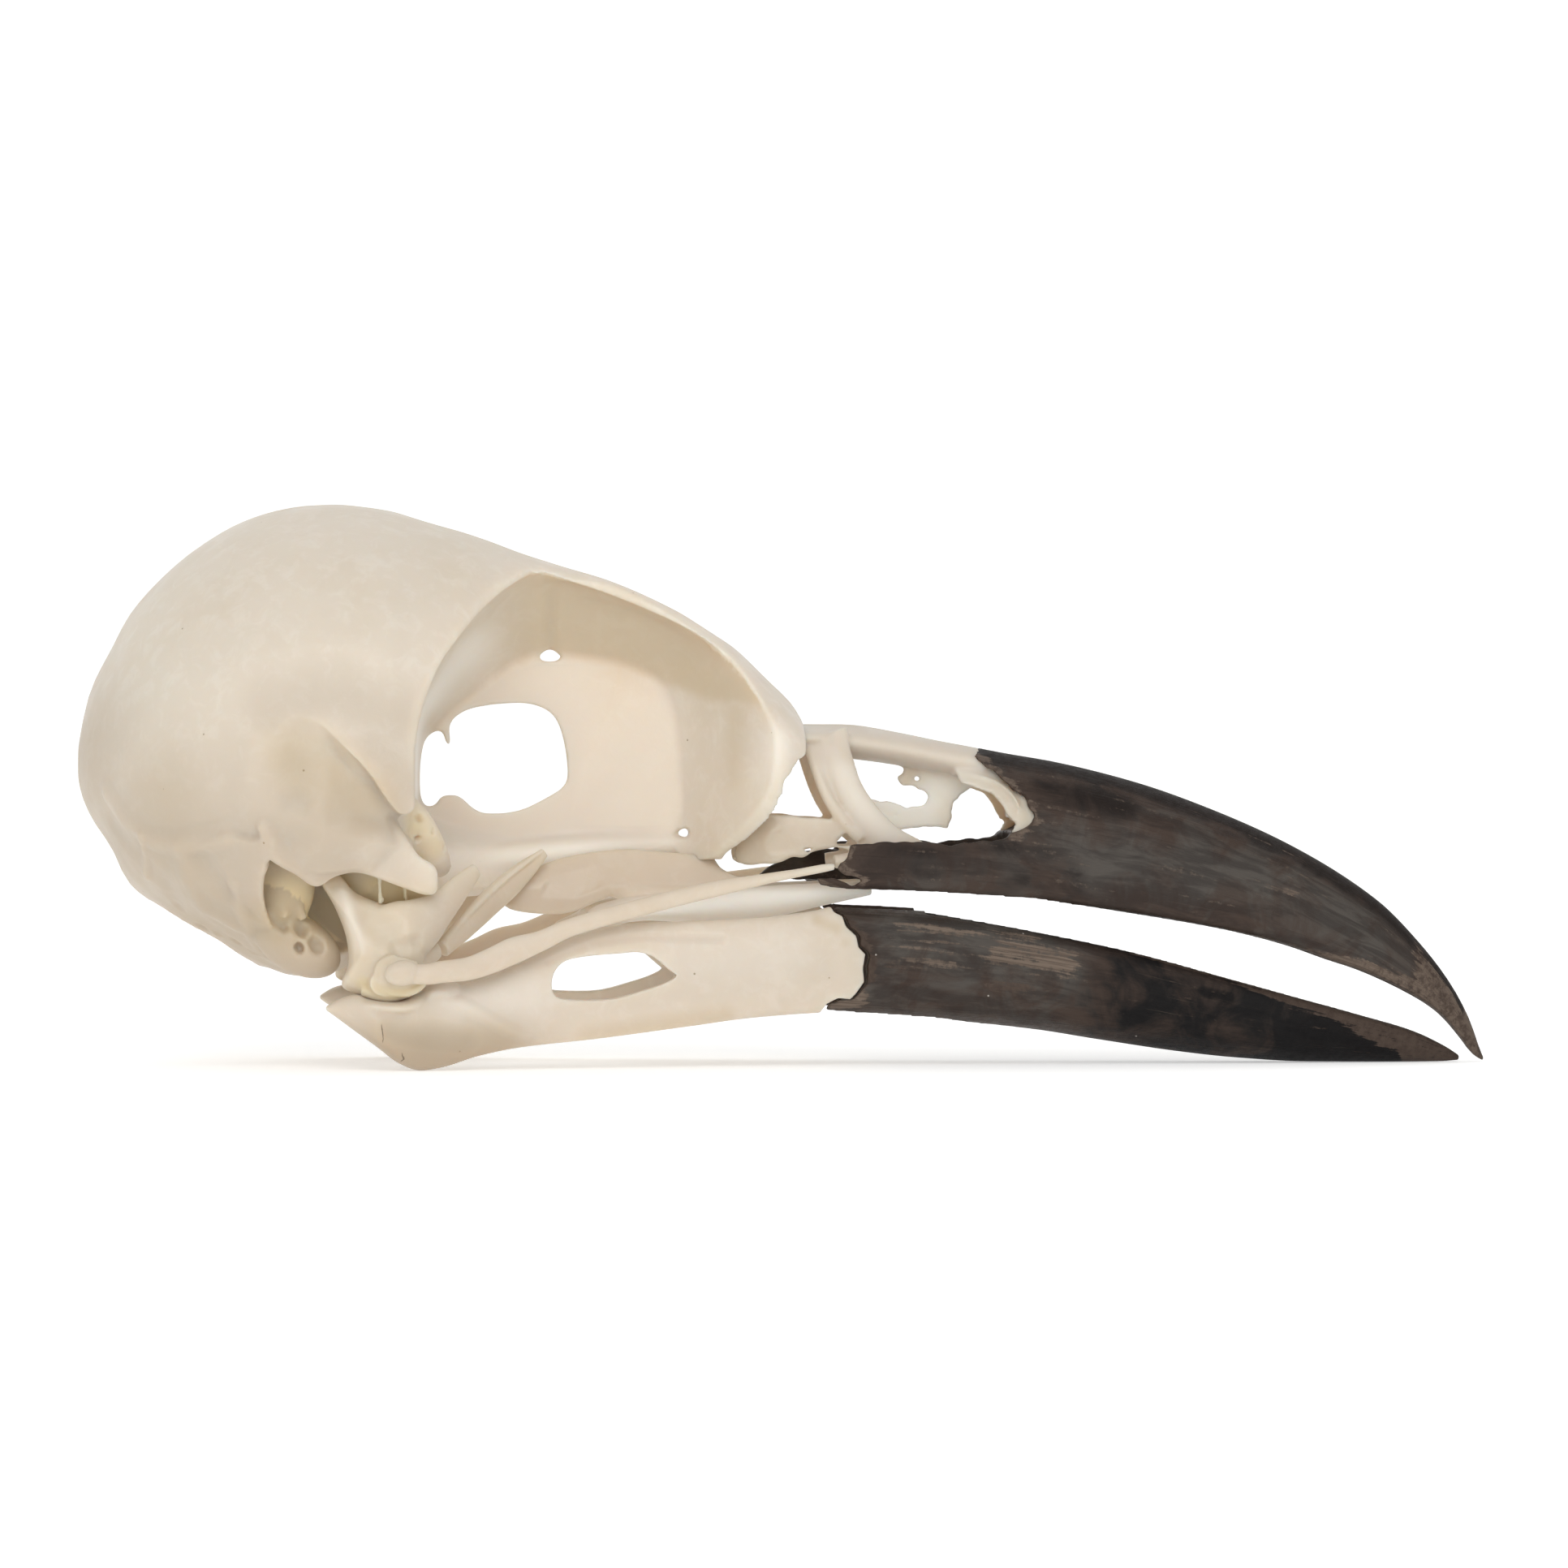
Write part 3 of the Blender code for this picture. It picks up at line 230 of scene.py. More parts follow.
def colour_setting(label, says, code):
    """A colour setting that starts as a hex code."""
    return FloatVectorProperty(name=label, description=says, subtype="COLOR", size=3, min=0, max=1,
                               default=linear(code)[:3])


def number_setting(label, says, start, most, **more):
    """A setting that is a number from 0 up."""
    return FloatProperty(name=label, description=says, default=start, max=most, **{"min": 0, **more})


class SkullSizes(PropertyGroup):
    """Sizes of the bone and horn that a user may change."""

    grain_mm: number_setting("Grain of the forms", "Steps that joined bones are cut to, in mm", 0.12, 0.4,
                             min=0.08)
    crest: number_setting("Crest height", "How strongly crests and hollows stand out", 1, 2, subtype="FACTOR")
    bone_faces: IntProperty(name="Bone faces", description="Most triangles kept on the cranium",
                            default=180000, min=20000, max=195000)
    horn_faces: IntProperty(name="Horn faces", description="Most triangles kept on each horn",
                            default=90000, min=20000, max=195000)


class BoneColours(PropertyGroup):
    """Colours of the cleaned bone."""

    cream: colour_setting("Cream", "Bare bone in good light", "#DCD1C1")
    # Tan is stain, and also painted shade in hollows, creases and on lower planes.
    tan: colour_setting("Tan", "Bone in hollows, stained a little", "#C6B391")
    yellow: colour_setting("Yellow", "Greasy bone round the ear and jaw joint", "#DECB9E")
    # Chalk is pale thin bone, and also painted light on thin walls and on shaded bone.
    chalk: colour_setting("Chalk", "Dry thin bone", "#EFEAE1")
    # Painted shade: a darker tone laid on the lower, rear and recessed parts of the bones, where shade falls.
    painted_shade: colour_setting("Grime", "Dust worked into the lower and rear parts", "#AF9F8A")


class HornColours(PropertyGroup):
    """Colours of the horn over the bill."""

    black: colour_setting("Black", "Dense horn", "#221C1A")
    umber: colour_setting("Umber", "Streaky brown horn toward the face", "#42362F")
    # Grey is clouds in the horn, and also a painted sheen along the middle of the upper bill.
    grey: colour_setting("Grey", "Cloudy horn", "#4F4A45")
    brown: colour_setting("Brown", "Worn and frayed horn", "#76685C")


class StudioSettings(PropertyGroup):
    """Light, floor and camera."""

    front: number_setting("Front light", "Strength of the soft light above the camera, in watts", 2.15, 100)
    overhead: number_setting("Overhead light", "Strength of the large light above, in watts", 0.2, 100)
    surround: number_setting("Surround", "Strength of the white surround", 0.47, 3)
    glow: number_setting("Floor glow", "Light that comes through the white floor", 0.38, 3)
    distance: number_setting("Camera distance", "From the lens to the skull's middle", 0.45, 2, min=0.1,
                             unit="LENGTH")
    view_width: number_setting("View width", "Width of the picture at the skull", 0.06892, 0.5, min=0.03,
                               unit="LENGTH")


def through(points):
    """A smooth curve through a table's points that doesn't overshoot between them."""
    xs, ys = zip(*points)
    slopes = [(b[1] - a[1]) / (b[0] - a[0]) for a, b in zip(points, points[1:])]
    tangents = [slopes[0]]
    for before, after in zip(slopes, slopes[1:]):
        tangents.append(2 * before * after / (before + after) if before * after > 0 else 0.0)
    tangents.append(slopes[-1])

    def value(x):
        x = min(max(x, xs[0]), xs[-1])
        i = max(k for k in range(len(slopes)) if xs[k] <= x)
        step = xs[i + 1] - xs[i]
        t = (x - xs[i]) / step
        return (ys[i] * (2 * t**3 - 3 * t**2 + 1) + tangents[i] * step * (t**3 - 2 * t**2 + t)
                + ys[i + 1] * (3 * t**2 - 2 * t**3) + tangents[i + 1] * step * (t**3 - t**2))

    return value


HEAD = [through(table) for table in (CROWN, BASE, HALF_WIDTH, WIDEST_LEVEL)]


def on_head(x, z):
    """The point of the left side of the head at an x and a height."""
    crown, base, half, level = (track(x) for track in HEAD)
    lean = min(1.0, abs(z - level) / (crown - level if z > level else level - base))
    return (x, half * math.sqrt(1.0 - lean * lean), z)


def rounded(points, per_span=4):
    """A smooth closed outline through a few points, as vectors of two."""
    made = []
    for i in range(len(points)):
        p0, p1, p2, p3 = (Vector(points[(i + k) % len(points)]) for k in (-1, 0, 1, 2))
        for t in [k / per_span for k in range(per_span)]:
            made.append(0.5 * (2 * p1 + (p2 - p0) * t + (2 * p0 - 5 * p1 + 4 * p2 - p3) * t**2
                               + (3 * p1 - p0 - 3 * p2 + p3) * t**3))
    return made


def ragged(edge, depth, size, per_span=5):
    """A side outline broken up by small notches, as thin bone and horn fray."""
    noise.seed_set(FRAY_SEED)
    made = []
    for a, b in zip(edge, edge[1:] + edge[:1]):
        for k in range(per_span):
            p = Vector(a).lerp(Vector(b), k / per_span)
            made.append(p + noise.noise_vector((p.x / size, 0, p.y / size)).xz * depth)
    return made


def spread(low, high, count):
    """Evenly spaced values from low to high, both included."""
    return [low + (high - low) * i / (count - 1) for i in range(count)]


def held(value):
    """The value kept between 0 and 1."""
    return min(1.0, max(0.0, value))


def bend(value, power):
    """The value with its size raised to a power, which squares or sharpens an oval's corners."""
    return math.copysign(abs(value) ** power, value)


def section(x, top, base, half, level, points=64, square=(1, 1), middle=0.0, floor=-99.0):
    """One upright ring across X: half ovals above and below the level where it is widest."""
    ring = []
    for i in range(points):
        turn = 2 * math.pi * i / points
        above = math.sin(turn) > 0
        power = square[0 if above else 1]
        z = level + (top - level if above else level - base) * bend(math.sin(turn), power)
        ring.append((x, middle + half * bend(math.cos(turn), power), max(z, floor)))
    return ring


def placed(bm, name="form"):
    """Puts a mesh in the scene as an object."""
    mesh = bpy.data.meshes.new(name)
    bm.to_mesh(mesh)
    bm.free()
    obj = bpy.data.objects.new(name, mesh)
    bpy.context.scene.collection.objects.link(obj)
    return obj


def closed(bm):
    """Ends a closed form: its seams are joined and its faces turned out."""
    bmesh.ops.remove_doubles(bm, verts=bm.verts[:], dist=0.00001)
    bmesh.ops.recalc_face_normals(bm, faces=bm.faces[:])
    return placed(bm)


def loft(rings):
    """A closed form over rings of points, made of circles bridged one to the next."""
    bm = bmesh.new()
    loops = []
    for ring in rings:
        verts = bmesh.ops.create_circle(bm, segments=len(ring), radius=1)["verts"]
        for vert, point in zip(verts, ring):
            vert.co = point
        loops.append({edge for vert in verts for edge in vert.link_edges})
    for one, other in zip(loops, loops[1:]):
        bmesh.ops.bridge_loops(bm, edges=list(one | other))
    bmesh.ops.holes_fill(bm, edges=list(loops[0] | loops[-1]))
    return closed(bm)


def rod(path, points=20, spans=5, up=(0, 0, 1)):
    """A rod or strap along a path of (x, y, z, half width, half height), smoothed between its points."""
    along = [0.0]
    for a, b in zip(path, path[1:]):
        along.append(along[-1] + (Vector(b[:3]) - Vector(a[:3])).length)
    tracks = [through([(s, p[k]) for s, p in zip(along, path)]) for k in range(5)]
    spots = [[track(s) for track in tracks] for s in spread(0.0, along[-1], spans * (len(path) - 1) + 1)]
    rings = []
    for i, (*here, width, height) in enumerate(spots):
        ahead, behind = spots[min(i + 1, len(spots) - 1)], spots[max(i - 1, 0)]
        forward = (Vector(ahead[:3]) - Vector(behind[:3])).normalized()
        side = forward.cross(Vector(up)).normalized()
        rise = side.cross(forward)
        turns = [2 * math.pi * k / points for k in range(points)]
        rings.append([Vector(here) + side * width * math.cos(turn) + rise * height * math.sin(turn)
                      for turn in turns])
    return loft(rings)


def centred(edge):
    """An outline's points as vectors, and their middle."""
    points = [Vector(p) for p in edge]
    return points, sum(points, Vector((0, 0))) / len(points)


def plate(edge, steps):
    """A form with a side outline, at several distances out and shares of its size."""
    points, centre = centred(edge)
    return loft([[(centre.x + (p.x - centre.x) * share, y, centre.y + (p.y - centre.y) * share)
                  for p in points] for y, share in steps])


def punch(edge, low, high):
    """A cutter with a side outline, from one distance out to another."""
    return plate(edge, [(low, 1), (high, 1)])


def blade(edge, lie, thick, shares=(0.55, 0.93, 1.0)):
    """A thin curved plate with a side outline. Its outer face lies at a distance out given by x and z."""
    points, centre = centred(edge)
    steps = [(share, 0.0) for share in shares[:-1]] + [(shares[-1], 0.2), (shares[-1], 0.8)]
    steps += [(share, 1.0) for share in reversed(shares[:-1])]
    rings = []
    for share, depth in steps:
        shrunk = [centre + (p - centre) * share for p in points]
        rings.append([(q.x, lie(q.x, q.y) - depth * thick, q.y) for q in shrunk])
    return loft(rings)


def ball(centre, radii, turn=(0, 0, 0)):
    """An oval ball, turned by degrees about x, y and z."""
    bm = bmesh.new()
    bmesh.ops.create_uvsphere(bm, u_segments=32, v_segments=20, radius=1)
    place = Matrix.Translation(centre)
    for axis, degrees in zip("XYZ", turn):
        place = place @ Matrix.Rotation(math.radians(degrees), 4, axis)
    bmesh.ops.transform(bm, matrix=place @ Matrix.Diagonal((*radii, 1)), verts=bm.verts[:])
    return closed(bm)


def twin(obj):
    """The same form on the other side of the middle plane."""
    bm = bmesh.new()
    bm.from_mesh(obj.data)
    bmesh.ops.scale(bm, vec=(1, -1, 1), verts=bm.verts[:])
    return closed(bm)


def both(*forms):
    """The forms and their mirror images."""
    return [side for form in forms for side in (form, twin(form))]


def bake_modifiers(obj):
    """Makes the modified shape the object's own mesh."""
    bpy.context.view_layer.update()
    shown = obj.evaluated_get(bpy.context.evaluated_depsgraph_get())
    old = obj.data
    mesh = bpy.data.meshes.new_from_object(shown)
    obj.modifiers.clear()
    obj.data = mesh
    bpy.data.meshes.remove(old)
    return obj


def modify(obj, kind, **settings):
    """Adds a modifier with its settings."""
    modifier = obj.modifiers.new(kind.lower(), kind)
    for key, value in settings.items():
        setattr(modifier, key, value)


def carve(target, *cutters):
    """Takes the cutters out of a form."""
    group = bpy.data.collections.new("cutters")
    bpy.context.scene.collection.children.link(group)
    for cutter in cutters:
        group.objects.link(cutter)
    modify(target, "BOOLEAN", operation="DIFFERENCE", operand_type="COLLECTION", collection=group,
           solver="MANIFOLD")
    bake_modifiers(target)
    for cutter in cutters:
        bpy.data.objects.remove(cutter)
    bpy.data.collections.remove(group)
    return target


def grow_together(forms, grain, smooth):
    """Fuses overlapping forms into one closed skin, as bones that have grown together."""
    bm = bmesh.new()
    for form in forms:
        bm.from_mesh(form.data)
        bpy.data.objects.remove(form)
    fused = placed(bm)
    modify(fused, "REMESH", mode="VOXEL", voxel_size=grain)
    modify(fused, "SMOOTH", factor=0.5, iterations=smooth)
    return bake_modifiers(fused)


def corners(mesh, what="co"):
    """The places or normals of a mesh's vertices as an array."""
    values = np.empty(len(mesh.vertices) * 3, dtype=np.float32)
    mesh.vertices.foreach_get(what, values)
    return values.reshape(-1, 3).astype(float)


def nearness(points, path, width, side):
    """How near each point is to a path on one side: 1 on it, and 0 at the width and beyond.

    A point of the path that is given by two numbers lies on the side of the head.
    """
    path = np.array([on_head(*p) if len(p) == 2 else p for p in path], dtype=float) * (1, side, 1)
    nearest = np.linalg.norm(points - path[0], axis=1)
    for a, b in zip(path, path[1:]):
        run = b - a
        share = np.clip(((points - a) @ run) / max(run @ run, 1e-9), 0.0, 1.0)
        nearest = np.minimum(nearest, np.linalg.norm(points - a - share[:, None] * run, axis=1))
    return np.clip(1.0 - (nearest / width) ** 2, 0.0, 1.0) ** 2


def sculpt(obj, strokes, strength, sides=(1, -1)):
    """Raises soft bands along paths, or presses them in where the height is negative."""
    points = corners(obj.data)
    normals = corners(obj.data, "normal")
    moved = points.copy()
    for path, width, height in strokes:
        for side in sides:
            moved += nearness(points, path, width, side)[:, None] * height * strength * normals
    obj.data.vertices.foreach_set("co", moved.astype(np.float32).ravel())
    obj.data.update()
    return obj


def paint(obj, rows):
    """Stores shares of colour as an attribute, each channel as the most that any row gives.

    A row is (channel, share at each point in mm) or (channel, path, width, share).
    """
    points = corners(obj.data) / MM
    shares = np.zeros((len(points), 4))
    for channel, what, *rest in rows:
        if callable(what):
            found = what(points)
        else:
            width, share = rest
            found = np.maximum(*(nearness(points, what, width, side) * share for side in (1, -1)))
        shares[:, channel] = np.maximum(shares[:, channel], found)
    attribute = obj.data.attributes.new("tone", "FLOAT_COLOR", "POINT")
    attribute.data.foreach_set("color", shares.astype(np.float32).ravel())


def dress(obj, name, material, nodes, most, rows):
    """Brings a form to metres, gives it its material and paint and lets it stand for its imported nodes."""
    count = sum(len(face.vertices) - 2 for face in obj.data.polygons)
    if count > most:
        modify(obj, "DECIMATE", ratio=most / count, use_collapse_triangulate=True)
        bake_modifiers(obj)
    obj.data.transform(Matrix.Scale(MM, 4))
    obj.name = obj.data.name = name
    obj.data.polygons.foreach_set("use_smooth", [True] * len(obj.data.polygons))
    obj.data.update()
    obj.data.materials.clear()
    obj.data.materials.append(material)
    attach(obj, "root")
    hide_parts(*nodes)
    paint(obj, rows)
    return obj


# Sculpted bands: (path, width, height). A point of two numbers lies on the side of the head.
CRANIUM_STROKES = [
    # Crest across the back of the head, down to the wing behind the ear.
    ([(-29.6, 11.9), (-28.9, 10.9), (-27.6, 9.9), (-26.2, 9.85), (-24.6, 10.2)], 0.8, 0.2),
    ([(-29.4, 10.6), (-28.2, 9.2), (-27.4, 8.2)], 0.9, -0.12),
    # Muscle ridge on the wing and the dents beside it.
    ([(-26.5, 9.6), (-26.1, 8.1), (-25.4, 7), (-24.2, 6.4)], 0.8, 0.14),
    ([(-25.4, 9), (-24.6, 7.9)], 1.1, -0.2),
    ([(-27.2, 9), (-26.8, 7.4)], 0.9, -0.1),
    # Swelling of the braincase above and behind the temple.
    ([(-23.5, 17.2), (-21.8, 17.6)], 2.4, 0.05),
    ([(-23.3, 10.8), (-23.6, 12.4), (-23.3, 14.2)], 0.9, 0.08),
    # The shallow rear of the temple hollow and the soft dip above it.
    ([(-21.3, 13.6), (-21.5, 12.2)], 1.5, -0.28),
    ([(-21.6, 11.8, 11.4), (-21.4, 11.5, 10.4)], 1.2, -0.25),
    ([(-20.6, 16.6), (-19, 16.2), (-17.8, 15)], 2.3, -0.2),
    # Spongy holes in front of the blade's root.
    *[([(x, y, z)], size, -0.3) for x, y, z, size in (
        (-16.2, 8.1, 10.9, 0.3), (-15.7, 7.6, 10.3, 0.24), (-16.3, 7.9, 10, 0.2), (-15.3, 6.8, 9.6, 0.3))],
    # Ridges and small pits on the wing behind the ear and on its lower edge.
    ([(-28.05, 10.2), (-27.95, 8.3)], 0.35, 0.12),
    ([(-24.2, 8.2), (-23.7, 6.6), (-23, 5.3)], 0.55, 0.16),
    *[([(x, z)], size, height) for x, z, size, height in (
        (-25.6, 6.1, 0.5, -0.14), (-24.9, 5.8, 0.4, 0.1), (-24.1, 5.5, 0.45, -0.14), (-23.3, 5, 0.4, 0.1),
        (-22.6, 4.9, 0.4, -0.12), (-21.9, 4.6, 0.35, 0.1), (-26.6, 7, 0.5, -0.1), (-23, 8.9, 0.5, 0.1))],
    # Rim of the socket.
    ([(-11.4, 21.4), (-12.6, 21), (-13.9, 19.9), (-15.2, 18), (-16, 16.2), (-16.4, 14.4)], 0.6, 0.1),
    # Crease where the roof of the socket turns up to the middle of the brow.
    ([(-10.4, 2.6, 20.8), (-10.35, 1.4, 19.2), (-10.3, 0.6, 18.2)], 0.5, -0.12),
    # Fibres that run up the rear wall of the socket from the window.
    ([(-15.6, 2.2, 14.6), (-14.9, 2, 16), (-13.6, 1.8, 17.4)], 0.22, 0.12),
    ([(-16, 3.4, 13.4), (-15.6, 3.2, 15.4), (-14.4, 3, 17.6)], 0.2, 0.08),
    # Hollow along the middle of the forehead.
    ([(-15, 0, 23.7), (-11, 0, 22.3), (-7, 0, 20.9), (-4, 0, 19.5)], 2.4, -0.12),
]
UPPER_HORN_STROKES = [
    # Shoulder beside the ridge and the shallow trough under it.
    ([(10, 2.6, 12.1), (14, 2.4, 11.3), (18, 2.1, 10.2), (22, 1.7, 8.6)], 0.9, 0.06),
    ([(11, 3.4, 10.6), (15, 3, 9.6), (19, 2.5, 8.3), (23, 1.9, 6.8)], 0.9, -0.07),
    # Thin raised cutting edge.
    ([(4, 4.9, 7.7), (10, 4, 7.3), (16, 3.2, 6.6), (22, 2.3, 5.3), (26, 1.6, 4)], 0.45, 0.04),
]
LOWER_HORN_STROKES = [
    ([(4, 4.6, 4.6), (9, 3.8, 4), (14, 3, 3.2)], 1.1, -0.08),
    ([(5, 4.3, 2.6), (10, 3.4, 2.1), (16, 2.5, 1.4), (22, 1.6, 0.8)], 0.7, 0.05),
]
JAW_STROKES = [
    # Edge between the upper, lit plane and the lower, shaded one.
    ([(-15.6, 9, 3.3), (-14.5, 8.8, 3), (-13, 8.4, 2.1), (-11.5, 8, 1.3)], 0.5, 0.14),
    ([(-17.4, 9.4, 1.8), (-15.8, 9, 1.6), (-14.2, 8.6, 1.3)], 0.8, -0.16),
    # Groove along the upper rim and the swelling under it.
    ([(-10.6, 7.8, 4.7), (-8.5, 7.4, 5.5), (-6.5, 7, 5.75), (-3, 6.3, 5.6)], 0.35, -0.12),
    ([(-4.5, 6.5, 4.4), (-1.5, 5.9, 4.6), (1.5, 5.3, 4.7)], 1.1, -0.12),
    ([(-12.5, 8.1, 1.9), (-9, 7.4, 2.1), (-5, 6.6, 2.6), (-1, 5.7, 2.9)], 0.8, 0.08),
]
QUADRATE_STROKES = [
    ([(-19.6, 9, 7.9), (-19.1, 9.2, 6.4), (-18.7, 9.3, 5.2)], 0.45, 0.16),
    ([(-18.4, 9, 6.6), (-17.6, 9, 6)], 1, -0.28),
    ([(-17.2, 9, 5.3), (-16.4, 8.6, 5.6)], 0.5, -0.15),
]


def head_form():
    """The whole braincase and forehead, before anything is hollowed out of it."""
    crown, base, half, level = HEAD
    stations = [-30.95, -30.88, -30.75, -30.5, -30.2, -29.8] + spread(-29.4, 0.2, 84) + [0.45, 0.7]
    return loft([section(x, crown(x), base(x), half(x), level(x), 112) for x in stations])


def brain_hollow():
    """The space for the brain, which shows through the hole in the base."""
    top, floor, half = through(BRAIN_TOP), through(BRAIN_FLOOR), through(BRAIN_HALF)
    stations = [-29.7, -29.5, -29.2] + spread(-28.9, -18, 24) + [-17.8, -17.6]
    return loft([section(x, top(x), floor(x), half(x), 13.8, 48) for x in stations])


def eye_socket():
    """The hollow for the left eye, which reaches out past the head."""
    outs = sorted(SOCKET_EDGES)
    tracks = [[through([(y, SOCKET_EDGES[y][i][k]) for y in outs]) for k in (0, 1)]
              for i in range(len(SOCKET_EDGES[outs[0]]))]
    rings = []
    for y in (0.25, 0.4, 0.6, 0.9, 1.3, 1.8, 2.4, 3.2, 4.2, 5.2, 6.2, 7.2, 8.2, 9, 12, 15):
        ring = []
        for p in rounded([(across(y), up(y)) for across, up in tracks], 6):
            roof = HEAD[0](p.x) - ROOF_THICKNESS if y < ROOF_REACH else ABOVE_ALL
            ring.append((p.x, y, min(p.y, roof)))
        rings.append(ring)
    return loft(rings)


def front_hollow():
    """The open space ahead of the sockets' front walls, under the hinge of the forehead."""
    rings = []
    for y in spread(-7, 7, 21):
        back = -2.7 + 0.095 * y * y
        top = 13.9 - 0.02 * y * y
        outline = [(back, 12.6), (back + 0.25, top - 0.8), (back + 0.6, top - 0.35), (back + 1, top - 0.1),
                   (back + 1.5, top), (6, top), (6, 4), (back - 0.9, 4), (back - 0.9, 7), (back - 0.5, 9),
                   (back - 0.2, 10.8)]
        rings.append([(x, y, z) for x, z in outline])
    return loft(rings)


def temple_hollow():
    """The shallow hollow for the jaw muscle on the left: deep under its crisp front edge, fading behind."""
    edge, centre = centred(rounded(TEMPLE_HOLLOW, 5))
    toward = Vector((0.72, 0.69))
    rings = []
    for lift, share in ((0, 0.25), (0, 0.5), (0, 0.68), (0, 0.8), (0, 0.9), (0, 0.97), (0.1, 1), (3, 1.05)):
        ring = []
        for p in edge:
            q = centre + (p - centre) * share
            lean = held(((q - centre).dot(toward) + 3.0) / 4.2)
            depth = 1.1 * lean * lean * (3.0 - 2.0 * lean) + 1.5 * max(0.0, q.x + 17.5)
            crisp = held((14.4 - p.y) / 2.0) if (p - centre).dot(toward) > 0.4 else 0.0
            fade = crisp + (1.0 - crisp) * min(1.0, (1.0 - share) / 0.5)
            ring.append((q.x, on_head(min(q.x, -16.0), q.y)[1] - depth * fade + lift, q.y))
        rings.append(ring)
    return loft(rings)


def cheek_blade():
    """The flat pointed blade in front of the ear, which grows out of the floor of the temple hollow."""
    def lie(x, z):
        sunk = 0.55 * max(0.0, z - 10.3) ** 2
        return 11.7 - 0.30 * (x + 22.0) - 0.28 * (11.0 - z) + 0.35 * math.cos((z - 9.4) * 0.9) - sunk
    return blade(rounded(CHEEK_BLADE), lie, 0.8)


def ear_wing():
    """The wing of bone behind the ear, whose front edge stands a little proud of the braincase."""
    def lie(x, z):
        return on_head(x, max(z, HEAD[1](x) + 0.3))[1] + 0.5 * held((x + 27.2) / 4.2)
    return blade(rounded(EAR_WING), lie, 0.9, (0.35, 0.7, 0.94, 1.0))


def make_cranium(sizes):
    """Braincase, forehead, wall between the sockets and base, which have grown into one bone."""
    cranium = head_form()
    ear = [(5.2, 0.45), (5.5, 0.66), (6, 0.82), (6.8, 0.93), (7.8, 0.99), (9, 1), (15, 1)]
    foramen = rod([(-26.3, 0, 2, 2.4, 2.4), (-25.7, 0, 5.5, 2.4, 2.4),
                   (-25, 0, 9, 2.4, 2.4)], 32, 3, (1, 0, 0))
    carve(cranium, *both(eye_socket()), front_hollow(), punch(LACRIMAL_EDGE, -8, 8),
          *both(plate(rounded(EAR_HOLLOW), ear), temple_hollow()), brain_hollow(), foramen,
          punch(rounded(SEPTUM_WINDOW, 3), -1.4, 1.4), punch(rounded(NERVE_HOLE), -2.6, 2.6),
          punch(rounded(SMALL_GAP, 3), -1, 1))
    keel = rod([(-17.5, 0, 7.3, 1.9, 0.8), (-14.5, 0, 8.4, 1.3, 0.9), (-11, 0, 9.1, 0.9, 0.8),
                (-8, 0, 9.5, 0.7, 0.65), (-5.4, 0, 9.65, 0.5, 0.45), (-4.3, 0, 9.6, 0.4, 0.35)], 24, 6)
    floor = ball((-21.5, 6.9, 5.45), (2.1, 1.35, 1.25), (0, 30, 0))
    wall = ball((-22.2, 7.1, 8), (1.5, 1.5, 2))
    carve(floor, *[ball((x, 8.15, z), (r, 0.5, 1.3 * r), (0, -25, 0)) for x, z, r in
                   ((-22.1, 6.3, 0.26), (-21.3, 6.15, 0.34), (-20.6, 5.45, 0.4), (-21.4, 5.3, 0.22))])
    cell = ball((-17.7, 6.4, 8.1), (2.2, 1.3, 1.6))
    strands = []
    for start, end in (((-18, 8.9, 8.6), (-17.9, 8.3, 7.2)), ((-16.9, 8.4, 8.2), (-16.75, 7.7, 7)),
                       ((-22.1, 8.4, 9.2), (-22, 8.3, 6.6)), ((-21.9, 8.2, 9.2), (-21.2, 8.1, 6.5))):
        middle = [(a + b) / 2 for a, b in zip(start, end)]
        strands.append(rod([(*start, 0.2, 0.14), (*middle, 0.12, 0.1), (*end, 0.2, 0.14)], 12, 5, (0, 1, 0)))
    corner = rod([(-17, 7.7, 11.4, 0.7, 0.5), (-16.4, 7.5, 10.5, 0.85, 0.6), (-15.8, 6.7, 9.5, 0.8, 0.6),
                  (-15.2, 5.2, 8.6, 0.5, 0.4)], 24, 5, (0, 1, 0))
    knob = ball((-22.7, 0, 4.9), (0.8, 1, 0.65))
    forms = [cranium, keel, knob, *both(cheek_blade(), ear_wing(), floor, wall, cell, corner, *strands)]
    return sculpt(grow_together(forms, sizes.grain_mm, 5), CRANIUM_STROKES, sizes.crest)


